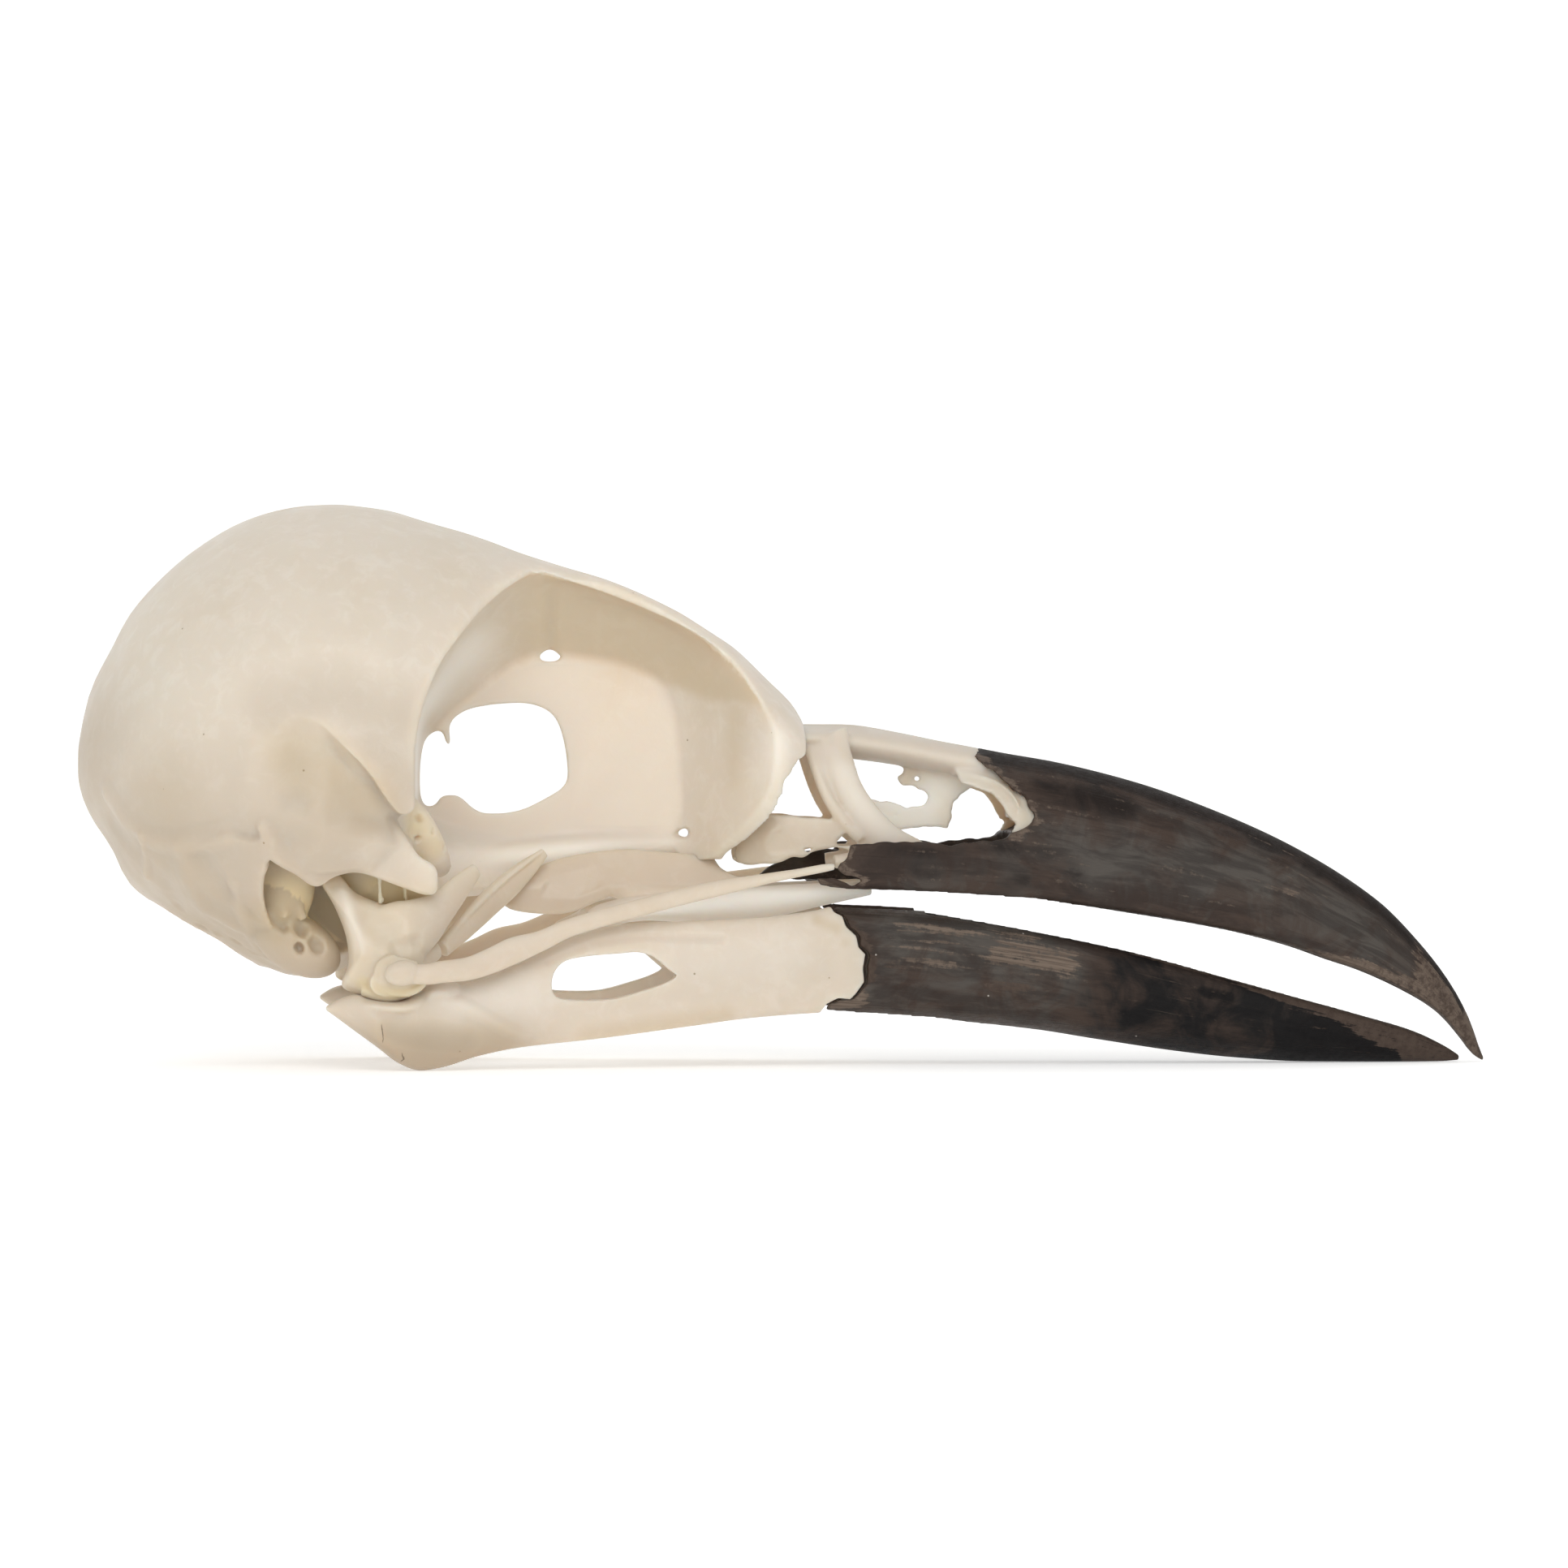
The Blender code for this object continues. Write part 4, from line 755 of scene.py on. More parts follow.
def make_upper_jaw(sizes):
    """Bare bone ahead of the forehead: strap over the nostrils, nose bars and palate shelf."""
    strap = rod([(0.5, 0, 14.35, 3.7, 0.55), (1.4, 0, 14.3, 3.3, 0.6), (3.2, 0, 14.1, 2.6, 0.75),
                 (4.8, 0, 13.85, 2.25, 0.72), (6.6, 0, 13.5, 2, 0.7), (8.3, 0, 13.2, 1.85, 0.68),
                 (10.6, 0, 12.75, 1.7, 0.6)], 40, 6)
    nose = rod([(1.7, 2.6, 14.4, 1, 0.35), (2.2, 2.95, 13.3, 0.66, 0.36), (2.65, 3.15, 12.1, 0.6, 0.34),
                (3.4, 3.25, 10.9, 0.64, 0.34), (4.3, 3.2, 9.8, 0.8, 0.34), (5.3, 3, 8.9, 1.1, 0.34)],
               24, 6, (0, 1, 0))
    web = blade(NOSE_WEB, lambda x, z: 3.15, 0.3)
    front = blade(NOSTRIL_FRONT, lambda x, z: 3.38 - 0.2 * (z - 10.0) - 0.12 * (z - 10.0) ** 2, 0.4)
    rim = rod([(7.4, 0, 12.85, 0.25, 1.8), (8.9, 0, 12.5, 0.2, 2.3), (9.75, 0, 11.9, 0.2, 2.8),
               (10.1, 0, 11.2, 0.2, 3.1), (10.1, 0, 10.75, 0.2, 3.1)], 28, 6, (0, 1, 0))
    edge_strip = rod([(0.8, 2.7, 14.5, 0.35, 0.3), (1.15, 3, 13.2, 0.26, 0.26), (1.6, 3.2, 11.9, 0.24, 0.24),
                      (2.3, 3.3, 10.8, 0.28, 0.22), (3.2, 3.3, 9.9, 0.3, 0.22)], 16, 6, (0, 1, 0))
    shelf = rod([(2, 3, 8.9, 0.6, 0.3), (4, 2.9, 9.05, 0.85, 0.4), (7, 2.4, 9.1, 0.9, 0.4),
                 (9.8, 1.2, 9, 1.2, 0.35)], 24, 5)

    def leaf_lie(x, z):
        return 3.1 + 0.25 * math.sin((z - 9.0) * 1.1) - 0.8 * max(0.0, -0.7 - x)

    leaf = blade(ragged(MAXILLA_LEAF, 0.12, 0.5), leaf_lie, 0.4)
    lace = plate(ragged(NASAL_LACE, 0.16, 0.35), [(-0.2, 0.97), (-0.1, 1), (0.1, 1), (0.2, 0.97)])
    carve(lace, ball((5.85, 0, 12.5), (0.15, 0.5, 0.12)), ball((6.7, 0, 11.6), (0.07, 0.5, 0.1)),
          ball((4.9, 0, 10.9), (0.12, 0.5, 0.06)))
    carve(leaf, punch(LEAF_HOLE, 2, 4), ball((0.85, 2.9, 9.42), (0.2, 0.7, 0.12)))
    forms = [strap, *both(nose, web, edge_strip, shelf, leaf, front), lace, rim]
    return grow_together(forms, 0.5 * (sizes.grain_mm + THIN_GRAIN), 3)


def make_upper_horn(sizes):
    """Horn of the upper bill: a solid front and two hollow arms that run back beside the palate."""
    crown, edge, half = through(CULMEN), through(UPPER_EDGE), through(UPPER_HALF)
    roof, wall = through(UPPER_GROOVE), through(UPPER_WALL)
    sheath = loft([
        section(x, crown(x), edge(x), half(x), edge(x) + 0.16 * (crown(x) - edge(x)), 96, (0.92, 0.35))
        for x in spread(0.5, 29, 90) + [29.35, 29.7, 30, 30.25, 30.5, 30.7, 30.85, 30.95]])
    groove = loft([
        section(x, roof(x), edge(x) - 3.0, half(x) - wall(x), edge(x) + 0.2, 48, [0.45 if x < 9 else 0.8] * 2)
        for x in spread(-1, 28, 60)])
    carve(sheath, punch(ragged(UPPER_REAR, 0.1, 0.3, 6), -8, 8), groove)
    flap = plate(ragged(LEFT_FLAP, 0.08, 0.4), [(4.2, 0.96), (4.3, 1), (4.65, 1), (4.75, 0.96)])
    sheath = grow_together([sheath, flap], 0.5 * (sizes.grain_mm + THIN_GRAIN), 2)
    return sculpt(sheath, UPPER_HORN_STROKES, sizes.crest)


def make_lower_horn(sizes):
    """Horn of the lower bill: two arms that join in front, with a trough along the top."""
    top, bottom, half = through(LOWER_EDGE), through(GONYS), through(LOWER_HALF)
    rings = []
    for x in spread(0.6, 28.4, 86) + [28.7, 29, 29.25, 29.5, 29.7, 29.85]:
        level = bottom(x) + 0.7 * (top(x) - bottom(x))
        boxy = 0.4 + 0.45 * held((x - 8.0) / 10.0)
        rings.append(section(x, top(x), bottom(x), half(x), level, 96, (0.5, boxy), floor=0.0))
    between = []
    for x in spread(-1.0, SYMPHYSIS, 28):
        inside = (half(x) - LOWER_WALL) * min(1.0, max(0.04, (SYMPHYSIS - x) / 6.0)) ** 0.5
        between.append(section(x, 12, -4, inside, 4, 40, (0.5, 0.5)))
    trough = [section(x, top(x) + 3.0, top(x) - 0.9 * half(x) / 3.4, half(x) - 0.5, top(x), 40)
              for x in spread(6, 28, 30)]
    rear = ragged(LOWER_REAR + [(-2, 1.5), (-2, 8)], 0.09, 0.3, 6)
    sheath = carve(loft(rings), loft(between), loft(trough), punch(rear, -8, 8))
    sheath = grow_together([sheath], 0.5 * (sizes.grain_mm + THIN_GRAIN), 2)
    return sculpt(sheath, LOWER_HORN_STROKES, sizes.crest)


def make_jaw_branch(sizes):
    """Left branch of the lower jaw bone, from its hinge to the horn."""
    top, bottom, out, half = (through(t) for t in (RAMUS_TOP, RAMUS_BOTTOM, RAMUS_OUT, RAMUS_HALF))
    branch = loft([
        section(x, top(x), bottom(x), half(x), (top(x) + bottom(x)) / 2, 48, (0.75, 0.75), out(x), 0.0)
        for x in [-20.28, -20.15, -20] + spread(-19.8, 4, 110)])
    knob = rod([(-17.9, 7.8, 2, 0.85, 0.7), (-18.1, 6.6, 2.1, 0.62, 0.52),
                (-18.3, 5.7, 2.4, 0.35, 0.32)], 24, 6)
    cup = rod([(-18.9, 8, 3.05, 0.9, 0.28), (-18.2, 8.3, 2.8, 1.1, 0.3), (-17.2, 8.4, 2.7, 1.1, 0.3),
               (-16.3, 8.1, 3, 0.8, 0.35)], 24, 5)
    hook = rod([(-15.9, 8.1, 3.2, 0.7, 0.4), (-15.3, 8.05, 3.45, 0.75, 0.45),
                (-14.6, 7.95, 3.4, 0.55, 0.4)], 20, 5)
    window = punch(rounded(RAMUS_WINDOW, 3), 4, 10)
    front = [(x - JAW_GAP, z) for x, z in LOWER_REAR] + [(7, 1.2), (7, 8)]
    branch = carve(grow_together([branch, knob, cup, hook], 0.6 * sizes.grain_mm, 3),
                   window, punch(front, 2, 8))
    return sculpt(grow_together([branch], 0.6 * sizes.grain_mm, 2), JAW_STROKES, sizes.crest, (1,))


def make_quadrate(sizes):
    """Left bone that carries the lower jaw: a body, a blade toward the socket and its hinge."""
    body = plate(rounded(QUADRATE_BODY, 3), [(7.35, 0.7), (7.6, 0.9), (7.95, 1), (8.25, 0.98), (8.55, 0.9),
                                            (8.8, 0.75), (8.95, 0.5), (9, 0.25)])
    wing = rod([(-18.2, 8.5, 5.8, 0.5, 1.2), (-17, 8.3, 5.95, 0.62, 1.4), (-16, 7.8, 6.4, 0.5, 1.15),
                (-15.2, 7.1, 7.05, 0.36, 0.8), (-14.4, 6.3, 7.9, 0.26, 0.6),
                (-13.7, 5.6, 8.6, 0.2, 0.35)], 24, 6)
    hinge = rod([(-18.4, 6, 3.9, 0.55, 0.5), (-17.9, 7.4, 3.85, 0.8, 0.7),
                 (-17.6, 9.2, 3.8, 0.8, 0.62)], 24, 6)
    condyle = rod([(-18.6, 8.2, 3.5, 0.65, 0.35), (-17.6, 8.45, 3.3, 0.7, 0.36),
                   (-16.7, 8.35, 3.5, 0.6, 0.35)],
                  20, 5)
    foot = rod([(-17.2, 8, 4.7, 0.8, 0.8), (-16.3, 7.3, 4.9, 0.6, 0.6),
                (-15.5, 6.6, 5.15, 0.42, 0.45)], 20, 5)
    seat = rod([(-17.9, 9.15, 4.2, 0.3, 0.6), (-17.1, 9.25, 4.2, 0.35, 0.75),
                (-16.3, 9.1, 4.25, 0.25, 0.5)], 24, 5)
    turns = [math.radians(a) for a in range(100, 400, 30)]
    ring = rod([(-17.05 + 1.02 * math.cos(a), 9.15, 4.15 + 0.78 * math.sin(a),
                 0.2, 0.2) for a in turns], 12, 4,
               (0, 1, 0))
    bone = grow_together([body, wing, hinge, condyle, foot, seat, ring], 0.55 * sizes.grain_mm, 7)
    return sculpt(bone, QUADRATE_STROKES, sizes.crest, (1,))


def make_cheek_bar(sizes):
    """Left cheek bar, a thin rod from a knob on the quadrate to the back of the upper bill."""
    boss = ball((-17, 9.8, 4.25), (0.78, 0.4, 0.55), (0, -8, 0))
    bar = rod([(-17.3, 9.7, 4.2, 0.2, 0.25), (-16.7, 9.75, 4.2, 0.28, 0.42), (-16, 9.8, 4.2, 0.32, 0.45),
               (-15.3, 9.7, 4.3, 0.32, 0.48), (-14.3, 9.5, 4.4, 0.32, 0.5), (-13.2, 9.2, 4.75, 0.33, 0.55),
               (-12.3, 8.95, 5.15, 0.33, 0.58), (-11, 8.65, 5.6, 0.3, 0.45), (-9.9, 8.4, 6.1, 0.3, 0.4),
               (-6.9, 7.7, 6.95, 0.3, 0.38), (-3.8, 6.95, 7.7, 0.3, 0.35), (-0.8, 6.15, 8.28, 0.27, 0.22),
               (0.5, 5.75, 8.5, 0.24, 0.18), (1.3, 5.45, 8.64, 0.22, 0.18),
               (1.85, 5.25, 8.72, 0.14, 0.14)], 28, 8)
    return grow_together([bar, boss], 0.5 * sizes.grain_mm, 2)


def make_pterygoid(sizes):
    """Left strut from the quadrate to the middle of the palate."""
    strut = rod([(-15.2, 6.3, 5.2, 0.35, 0.4), (-14.2, 5.3, 6.1, 0.26, 0.55), (-13.3, 4.2, 6.95, 0.24, 0.65),
                 (-12.3, 3.1, 7.8, 0.24, 0.62), (-11.4, 2.5, 8.6, 0.22, 0.45),
                 (-10.6, 2.25, 9.3, 0.16, 0.2)], 28, 8)
    ridge = rod([(-15.1, 6.35, 5.55, 0.2, 0.16), (-13.8, 4.95, 6.95, 0.2, 0.16),
                 (-12.3, 3.3, 8.25, 0.18, 0.14),
                 (-10.7, 2.35, 9.4, 0.12, 0.1)], 16, 8)
    return grow_together([strut, ridge], 0.5 * sizes.grain_mm, 2)


def make_palatine(sizes):
    """Left bone of the palate: a hanging rear leaf, a wing with a backward point and a front strap."""
    def lie(x, z):
        return 2.15 - 0.55 * max(0.0, z - 7.8) - 0.1 * max(0.0, 7.8 - z)
    leaf, sheet = (blade(rounded(edge), lie, 0.45) for edge in (PALATE_LOBE, PALATE_SHEET))
    wing = rod([(-9.8, 5.2, 5.9, 0.25, 0.2), (-8.6, 4.9, 6.3, 0.7, 0.34), (-7.4, 3.9, 6.75, 1.4, 0.42),
                (-6, 3.4, 6.9, 1.6, 0.5), (-4.2, 3.3, 6.9, 1.25, 0.6), (-1.3, 3.3, 7.12, 0.75, 0.72),
                (0.9, 3.1, 7.4, 0.6, 0.55), (2, 3, 7.55, 0.55, 0.45), (3.6, 2.9, 7.75, 0.5, 0.3)], 32, 6,
               (0, 0.15, 1))
    return grow_together([leaf, sheet, wing], 0.6 * sizes.grain_mm, 3)


def node(tree, kind, inputs=(), **settings):
    """Adds a shader node and gives its outputs. Its inputs are values or outputs, in order or by key."""
    made = tree.nodes.new("ShaderNode" + kind)
    for key, value in settings.items():
        setattr(made, key, value)
    for key, value in (inputs if isinstance(inputs, dict) else dict(enumerate(inputs))).items():
        if isinstance(value, bpy.types.NodeSocket):
            tree.links.new(value, made.inputs[key])
        else:
            made.inputs[key].default_value = value
    return made.outputs


def empty_material(name):
    """A new material and its tree, with no nodes in it."""
    material = bpy.data.materials.new(name)
    material.use_nodes = True
    material.node_tree.nodes.clear()
    return material, material.node_tree


def per_mm(size):
    """The pattern scale that gives features of a size in millimetres."""
    return 1.0 / (size * MM)


def hairline(tree, here, x, low, high):
    """Share of a fine crack down the right jaw at an x, between two heights, all in millimetres."""
    place = node(tree, "SeparateXYZ", [here])
    wander = node(tree, "TexNoise", {"Vector": here, "Scale": per_mm(0.8), "Detail": 3})[0]
    drift = node(tree, "Math", [wander, 0.6], operation="MULTIPLY")[0]
    off = node(tree, "Math", [node(tree, "Math", [place[0], 1.0 / MM], operation="MULTIPLY")[0], drift])[0]
    gap = node(tree, "Math", [node(tree, "Math", [off, -x - 0.3])[0]], operation="ABSOLUTE")[0]
    line, *limits = (
        node(tree, "MapRange", row, interpolation_type="SMOOTHSTEP")[0] for row in (
            (gap, 0.01, 0.04, 0.8, 0), (place[2], low * MM, (low + 0.15) * MM),
            (place[2], high * MM, (high - 0.15) * MM), (place[1], 0, -1.0 * MM)))
    for limit in limits:
        line = node(tree, "Math", [line, limit], operation="MULTIPLY")[0]
    return line


def cleaned_bone(name, colours, grease=0.0, cracks=()):
    """Bone boiled or left clean by insects, then dried.

    Gives the eye: a cream body that light sinks into, clouds of tan where it is thicker or carries stain, tan
    as painted shade in hollows and creases, yellow where fat has stayed, pale thin bone that also serves as
    painted light where shade falls, a darker painted shade low and behind, tiny dark pores and a dull satin
    skin with a fine grain.
    """
    material, tree = empty_material(name)
    cream, tan, yellow, chalk, painted_shade = (
        (*getattr(colours, key), 1.0) for key in ("cream", "tan", "yellow", "chalk", "painted_shade"))
    here = node(tree, "TexCoord")["Object"]
    tone = node(tree, "Attribute", attribute_name="tone")
    stained_and_shaded, greasy, dry_and_lit = node(tree, "SeparateColor", [tone["Color"]])
    cloud, mottle, fine, worn = (
        node(tree, "TexNoise", {"Vector": here, "Scale": per_mm(size), "Detail": detail, "Roughness": rough,
                                "Distortion": twist})[0]
        for size, detail, rough, twist in (
            (5, 5, 0.6, 0), (0.9, 6, 0.65, 0.6), (0.22, 4, 0.6, 0), (2.2, 3, 0.5, 0)))
    pores = node(tree, "TexVoronoi", {"Vector": here, "Scale": per_mm(0.85)})
    thick, bloom, rare, pit, rough = (
        node(tree, "MapRange", row, interpolation_type="SMOOTHSTEP")[0] for row in (
            (cloud, 0.46, 0.74, 0, 0.16), (mottle, 0.46, 0.68, 0, 0.2),
            (node(tree, "SeparateColor", [pores["Color"]])[0], 0.90, 0.93),
            (pores["Distance"], 0.03, 0.075, 1, 0), (worn, 0.35, 0.68, 0.58, 0.4)))
    pit = node(tree, "Math", [pit, rare], operation="MULTIPLY")[0]
    dark, rise, grit, sink = (
        node(tree, "Math", row, operation="MULTIPLY")[0]
        for row in ((pit, 0.75), (mottle, 0.5), (fine, 0.25), (pit, -0.6)))
    # The tan channel lays on stain and painted shade, the chalk channel pale thin bone and painted light, and
    # the fourth channel painted shade.
    layers = [(tan, thick), (chalk, bloom), (tan, stained_and_shaded), (yellow, node(tree, "Math", [greasy, grease])[0]),
              (chalk, dry_and_lit), (painted_shade, tone["Alpha"]), (linear("#8F7A58"), dark)]
    layers += [(linear("#5B4C3C"), hairline(tree, here, *crack)) for crack in cracks]
    shown = cream
    for over, share in layers:
        shown = node(tree, "Mix", {0: share, 6: shown, 7: over}, data_type="RGBA")[2]
    height = node(tree, "Math", [node(tree, "Math", [rise, grit])[0], sink])[0]
    shader = node(tree, "BsdfPrincipled", {
        "Base Color": shown, "Roughness": rough, "IOR": 1.5, "Specular IOR Level": 0.42,
        "Subsurface Weight": 0.6, "Subsurface Radius": (1.0, 0.7, 0.5), "Subsurface Scale": 1.2 * MM,
        "Normal": node(tree, "Bump", {"Height": height, "Strength": 0.35, "Distance": 0.06 * MM})[0]})
    node(tree, "OutputMaterial", [shader[0]])
    return material


def bill_horn(name, colours, cool, bare_umber):
    """Horn of the bill, grown in sheets that run to the tip, dried on the bone.

    Gives the eye: brown-black with clouds of grey, a painted grey sheen along the middle of the upper bill,
    paler brown where the sheets are worn thin at the edges and the tip, fine streaks along the grain, specks
    of dust and a soft broken shine.
    """
    material, tree = empty_material(name)
    black, umber, grey, brown = ((*getattr(colours, key), 1.0) for key in ("black", "umber", "grey", "brown"))
    here = node(tree, "TexCoord")["Object"]
    grain = node(tree, "Attribute", attribute_name="grain")["Vector"]
    tone = node(tree, "Attribute", attribute_name="tone")["Color"]
    worn, dense, cloud_and_sheen = node(tree, "SeparateColor", [tone])
    coarse, drawn, sheets = (node(tree, "Mapping", {"Vector": grain, "Scale": scale})[0]
                             for scale in ((3, 6, 6), (1.6, 40, 40), (2.2, 15, 15)))
    cloud, crumb, band, streak, fray = (
        node(tree, "TexNoise", {"Vector": where, "Scale": scale, "Detail": detail, "Roughness": rough,
                                "Distortion": twist})[0]
        for where, scale, detail, rough, twist in (
            (here, per_mm(2.6), 6, 0.62, 0.8), (here, per_mm(0.35), 5, 0.7, 0), (coarse, 1.2, 5, 0.6, 0.5),
            (drawn, 1.4, 6, 0.65, 0), (sheets, 1, 4, 0.6, 0)))
    dots = node(tree, "TexVoronoi", {"Vector": here, "Scale": per_mm(1.3)})
    haze_and_sheen, banded, patchy, crumbs, frays, bared, lined, light, dark, rare, speck, rough = (
        node(tree, "MapRange", row, interpolation_type="SMOOTHSTEP")[0] for row in (
            (cloud, 0.36, 0.64, -0.35, 0.75), (band, 0.6, 0.4, 0, 0.5), (cloud, 0.3, 0.7, -0.25, 0.25),
            (crumb, 0.3, 0.7, -0.18, 0.18), (fray, 0.32, 0.68, -0.42, 0.42), (crumb, 0.62, 0.36, *bare_umber),
            (streak, 0.62, 0.4, 0, 0.6), (streak, 0.6, 0.78, 0, 0.16), (streak, 0.42, 0.28, 0, 0.3),
            (node(tree, "SeparateColor", [dots["Color"]])[0], 0.62, 0.66), (dots["Distance"], 0.045, 0.02),
            (crumb, 0.35, 0.7, 0.36, 0.52)))
    dull, sunk, smooth = (node(tree, "Math", [one, other], operation=how)[0] for one, other, how in (
        (worn, dense, "MAXIMUM"), (speck, rare, "MULTIPLY"), (1, cloud_and_sheen, "SUBTRACT")))
    clouded_and_sheen, dull, dust, bared, drawn, crumbled = (
        node(tree, "Math", row, operation="MULTIPLY")[0]
        for row in ((cloud_and_sheen, 0.8), (dull, 0.25), (sunk, 0.65), (bared, smooth), (streak, 0.9), (crumb, 0.35)))
    # The third horn channel adds clouds and a painted sheen to the grey.
    haze_and_sheen = node(tree, "Math", [haze_and_sheen, clouded_and_sheen], use_clamp=True)[0]
    patchy, frays, rough, height = (
        node(tree, "Math", row)[0]
        for row in ((dense, patchy), (crumbs, frays), (rough, dull), (drawn, crumbled)))
    bared = node(tree, "Math", [bared, lined], operation="MAXIMUM")[0]
    patchy, edge = (
        node(tree, "MapRange", row, interpolation_type="SMOOTHSTEP")[0]
        for row in ((patchy, 0.2, 0.75, 0, 0.93), (node(tree, "Math", [worn, frays])[0], 0.36, 0.74)))
    bare = node(tree, "Mix", {0: bared, 6: brown, 7: umber}, data_type="RGBA")[2]
    shown = umber
    for over, share in (
            (grey, haze_and_sheen), (black, banded), (cool, patchy), (bare, edge), (linear("#8A7B6C"), light),
            (linear("#171210"), dark), (linear("#C4BDB4"), dust)):
        shown = node(tree, "Mix", {0: share, 6: shown, 7: over}, data_type="RGBA")[2]
    shader = node(tree, "BsdfPrincipled", {
        "Base Color": shown, "Roughness": rough, "IOR": 1.54, "Specular IOR Level": 0.13,
        "Normal": node(tree, "Bump", {"Height": height, "Strength": 0.5, "Distance": 0.07 * MM})[0]})
    node(tree, "OutputMaterial", [shader[0]])
    return material


def white_sweep(name, glow):
    """White acrylic sheet, bent up behind the skull and lit through from below.

    Gives the eye: a plain ground that stays white, with next to no shadow.
    """
    material, tree = empty_material(name)
    shader = node(tree, "BsdfPrincipled", {
        "Base Color": linear("#F4F4F3"), "Roughness": 0.9, "Specular IOR Level": 0.1,
        "Emission Color": (1, 1, 1, 1), "Emission Strength": glow})
    node(tree, "OutputMaterial", [shader[0]])
    return material


# Channels of paint on bone and on horn. On bone, the first is tan stain and painted shade, the third is pale
# thin bone and painted light and the fourth is painted shade; on horn, the third is clouds in the horn and a
# painted sheen.
TAN_AND_SHADE, YELLOW, CHALK_AND_LIGHT, PAINTED_SHADE = 0, 1, 2, 3
WORN, BLACK, GREY_AND_SHEEN = 0, 1, 2


def ease(values):
    """Values held between 0 and 1 and eased at both ends."""
    values = np.clip(values, 0.0, 1.0)
    return values * values * (3.0 - 2.0 * values)


def table_at(table, along):
    """A table's values at many places."""
    return np.interp(along, *zip(*table))


def under_brow(points):
    """Share of painted shade under the roof of the socket, with an edge along the crease."""
    x, y, z = points[:, 0], np.abs(points[:, 1]), points[:, 2]
    top, level, half = (table_at(table, x) for table in (CROWN, WIDEST_LEVEL, HALF_WIDTH))
    roof = level + (top - level) * np.sqrt(np.clip(1.0 - (y / half) ** 2, 0.0, 1.0))
    inside = (z < roof - 0.3) & (y < half + 0.2) & (x > -15.6) & (x < 0.0)
    strength = 0.1 + 0.42 * ease((x + 13.5) / 3.0)
    return np.where(inside, strength * ease((z - table_at(ROOF_CREASE, x)) / 0.6 + 0.5), 0.0)


def thin_wall(points):
    """Share of pale bone on the thin wall between the sockets, painted light that shines through it."""
    x, y, z = points[:, 0], np.abs(points[:, 1]), points[:, 2]
    share = ease((table_at(ROOF_CREASE, x) - 0.1 - z) / 0.5) * ease((z - 9.2) / 0.8) * ease((-3.5 - x) / 3.0)
    return np.where((y < 1.2) & (x > -16.0), share, 0.0)


def low_painted_shade(points):
    """Share of painted shade low on the braincase and at its back."""
    x, y, z = points[:, 0], np.abs(points[:, 1]), points[:, 2]
    low, level, half = (table_at(table, x) for table in (BASE, WIDEST_LEVEL, HALF_WIDTH))
    out = half * np.sqrt(np.clip(1.0 - ((level - z) / (level - low)) ** 2, 0.0, 1.0))
    side = np.maximum(0.75 * ease((14.5 - z) / 9.0), 0.6 * ease((17.0 - z) / 8.0))
    side = side * ease((-15.9 - x) / 1.5) * np.where(y > out - 1.6, 1.0, 0.0)
    side = side * (1.0 - 0.6 * ease((x + 19.6) / 1.6) * ease((10.6 - z) / 1.2))
    return np.maximum(side, 0.5 * ease((-26.5 - x) / 4.0) * ease((19.0 - z) / 5.0))


def jaw_painted_shade(points):
    """Share of painted shade that deepens toward the underside of the jaw's rear."""
    rear = ease((-9.0 - points[:, 0]) / 4.0)
    return 0.2 + 0.02 * rear + 0.7 * ease((3.0 - points[:, 2]) / 2.6) * rear


def palate_painted_shade(points):
    """Share of painted shade on the palate, less on its front strap."""
    return 0.4 - 0.38 * (ease((points[:, 0] + 8.0) / 1.5) * ease((7.9 - points[:, 2]) / 0.4))


def nose_painted_shade(points):
    """An even share of painted shade on the nose bones, less on the lace between the nostrils."""
    shade = 0.3 + 0.16 * ease((points[:, 2] - 12.8) / 0.8)
    return np.where((np.abs(points[:, 1]) < 0.6) & (points[:, 2] < 13.0), 0.05, shade)


def upper_wear(points):
    """Share of worn horn along the cutting edge and at the tip, short of the ridge."""
    x, z = points[:, 0], points[:, 2]
    low = ease((table_at(UPPER_WEAR, x) - z) / 0.5 + 0.5) * ease((x - 16.5) / 1.5)
    front = ease((x - table_at(TIP_WEAR, z)) / 0.5 + 0.5)
    ridge = ease((table_at(CULMEN, x) - z) / 0.5 - 0.25)
    return np.maximum(low, front) * np.where(x > 30.0, 1.0, ridge)


def dark_ridge(points):
    """Share of dense horn along the ridge."""
    x, z = points[:, 0], points[:, 2]
    return 0.85 * ease(1.25 - (table_at(CULMEN, x) - z) / 0.9) * ease((x - 7.5) / 1.5)


def lower_wear(points):
    """Share of worn horn along the upper edge and at the tip."""
    return ease((points[:, 2] - table_at(LOWER_WEAR, points[:, 0])) / 0.4 + 0.5)


def lower_black(points):
    """Share of dense horn, which builds up toward the front of the lower bill."""
    x, z = points[:, 0], points[:, 2]
    return np.maximum(0.6 * ease((x - 10.5) / 4.5), 0.97 * (ease((x - 17.0) / 7.0) * ease((3.4 - z) / 2.0)))


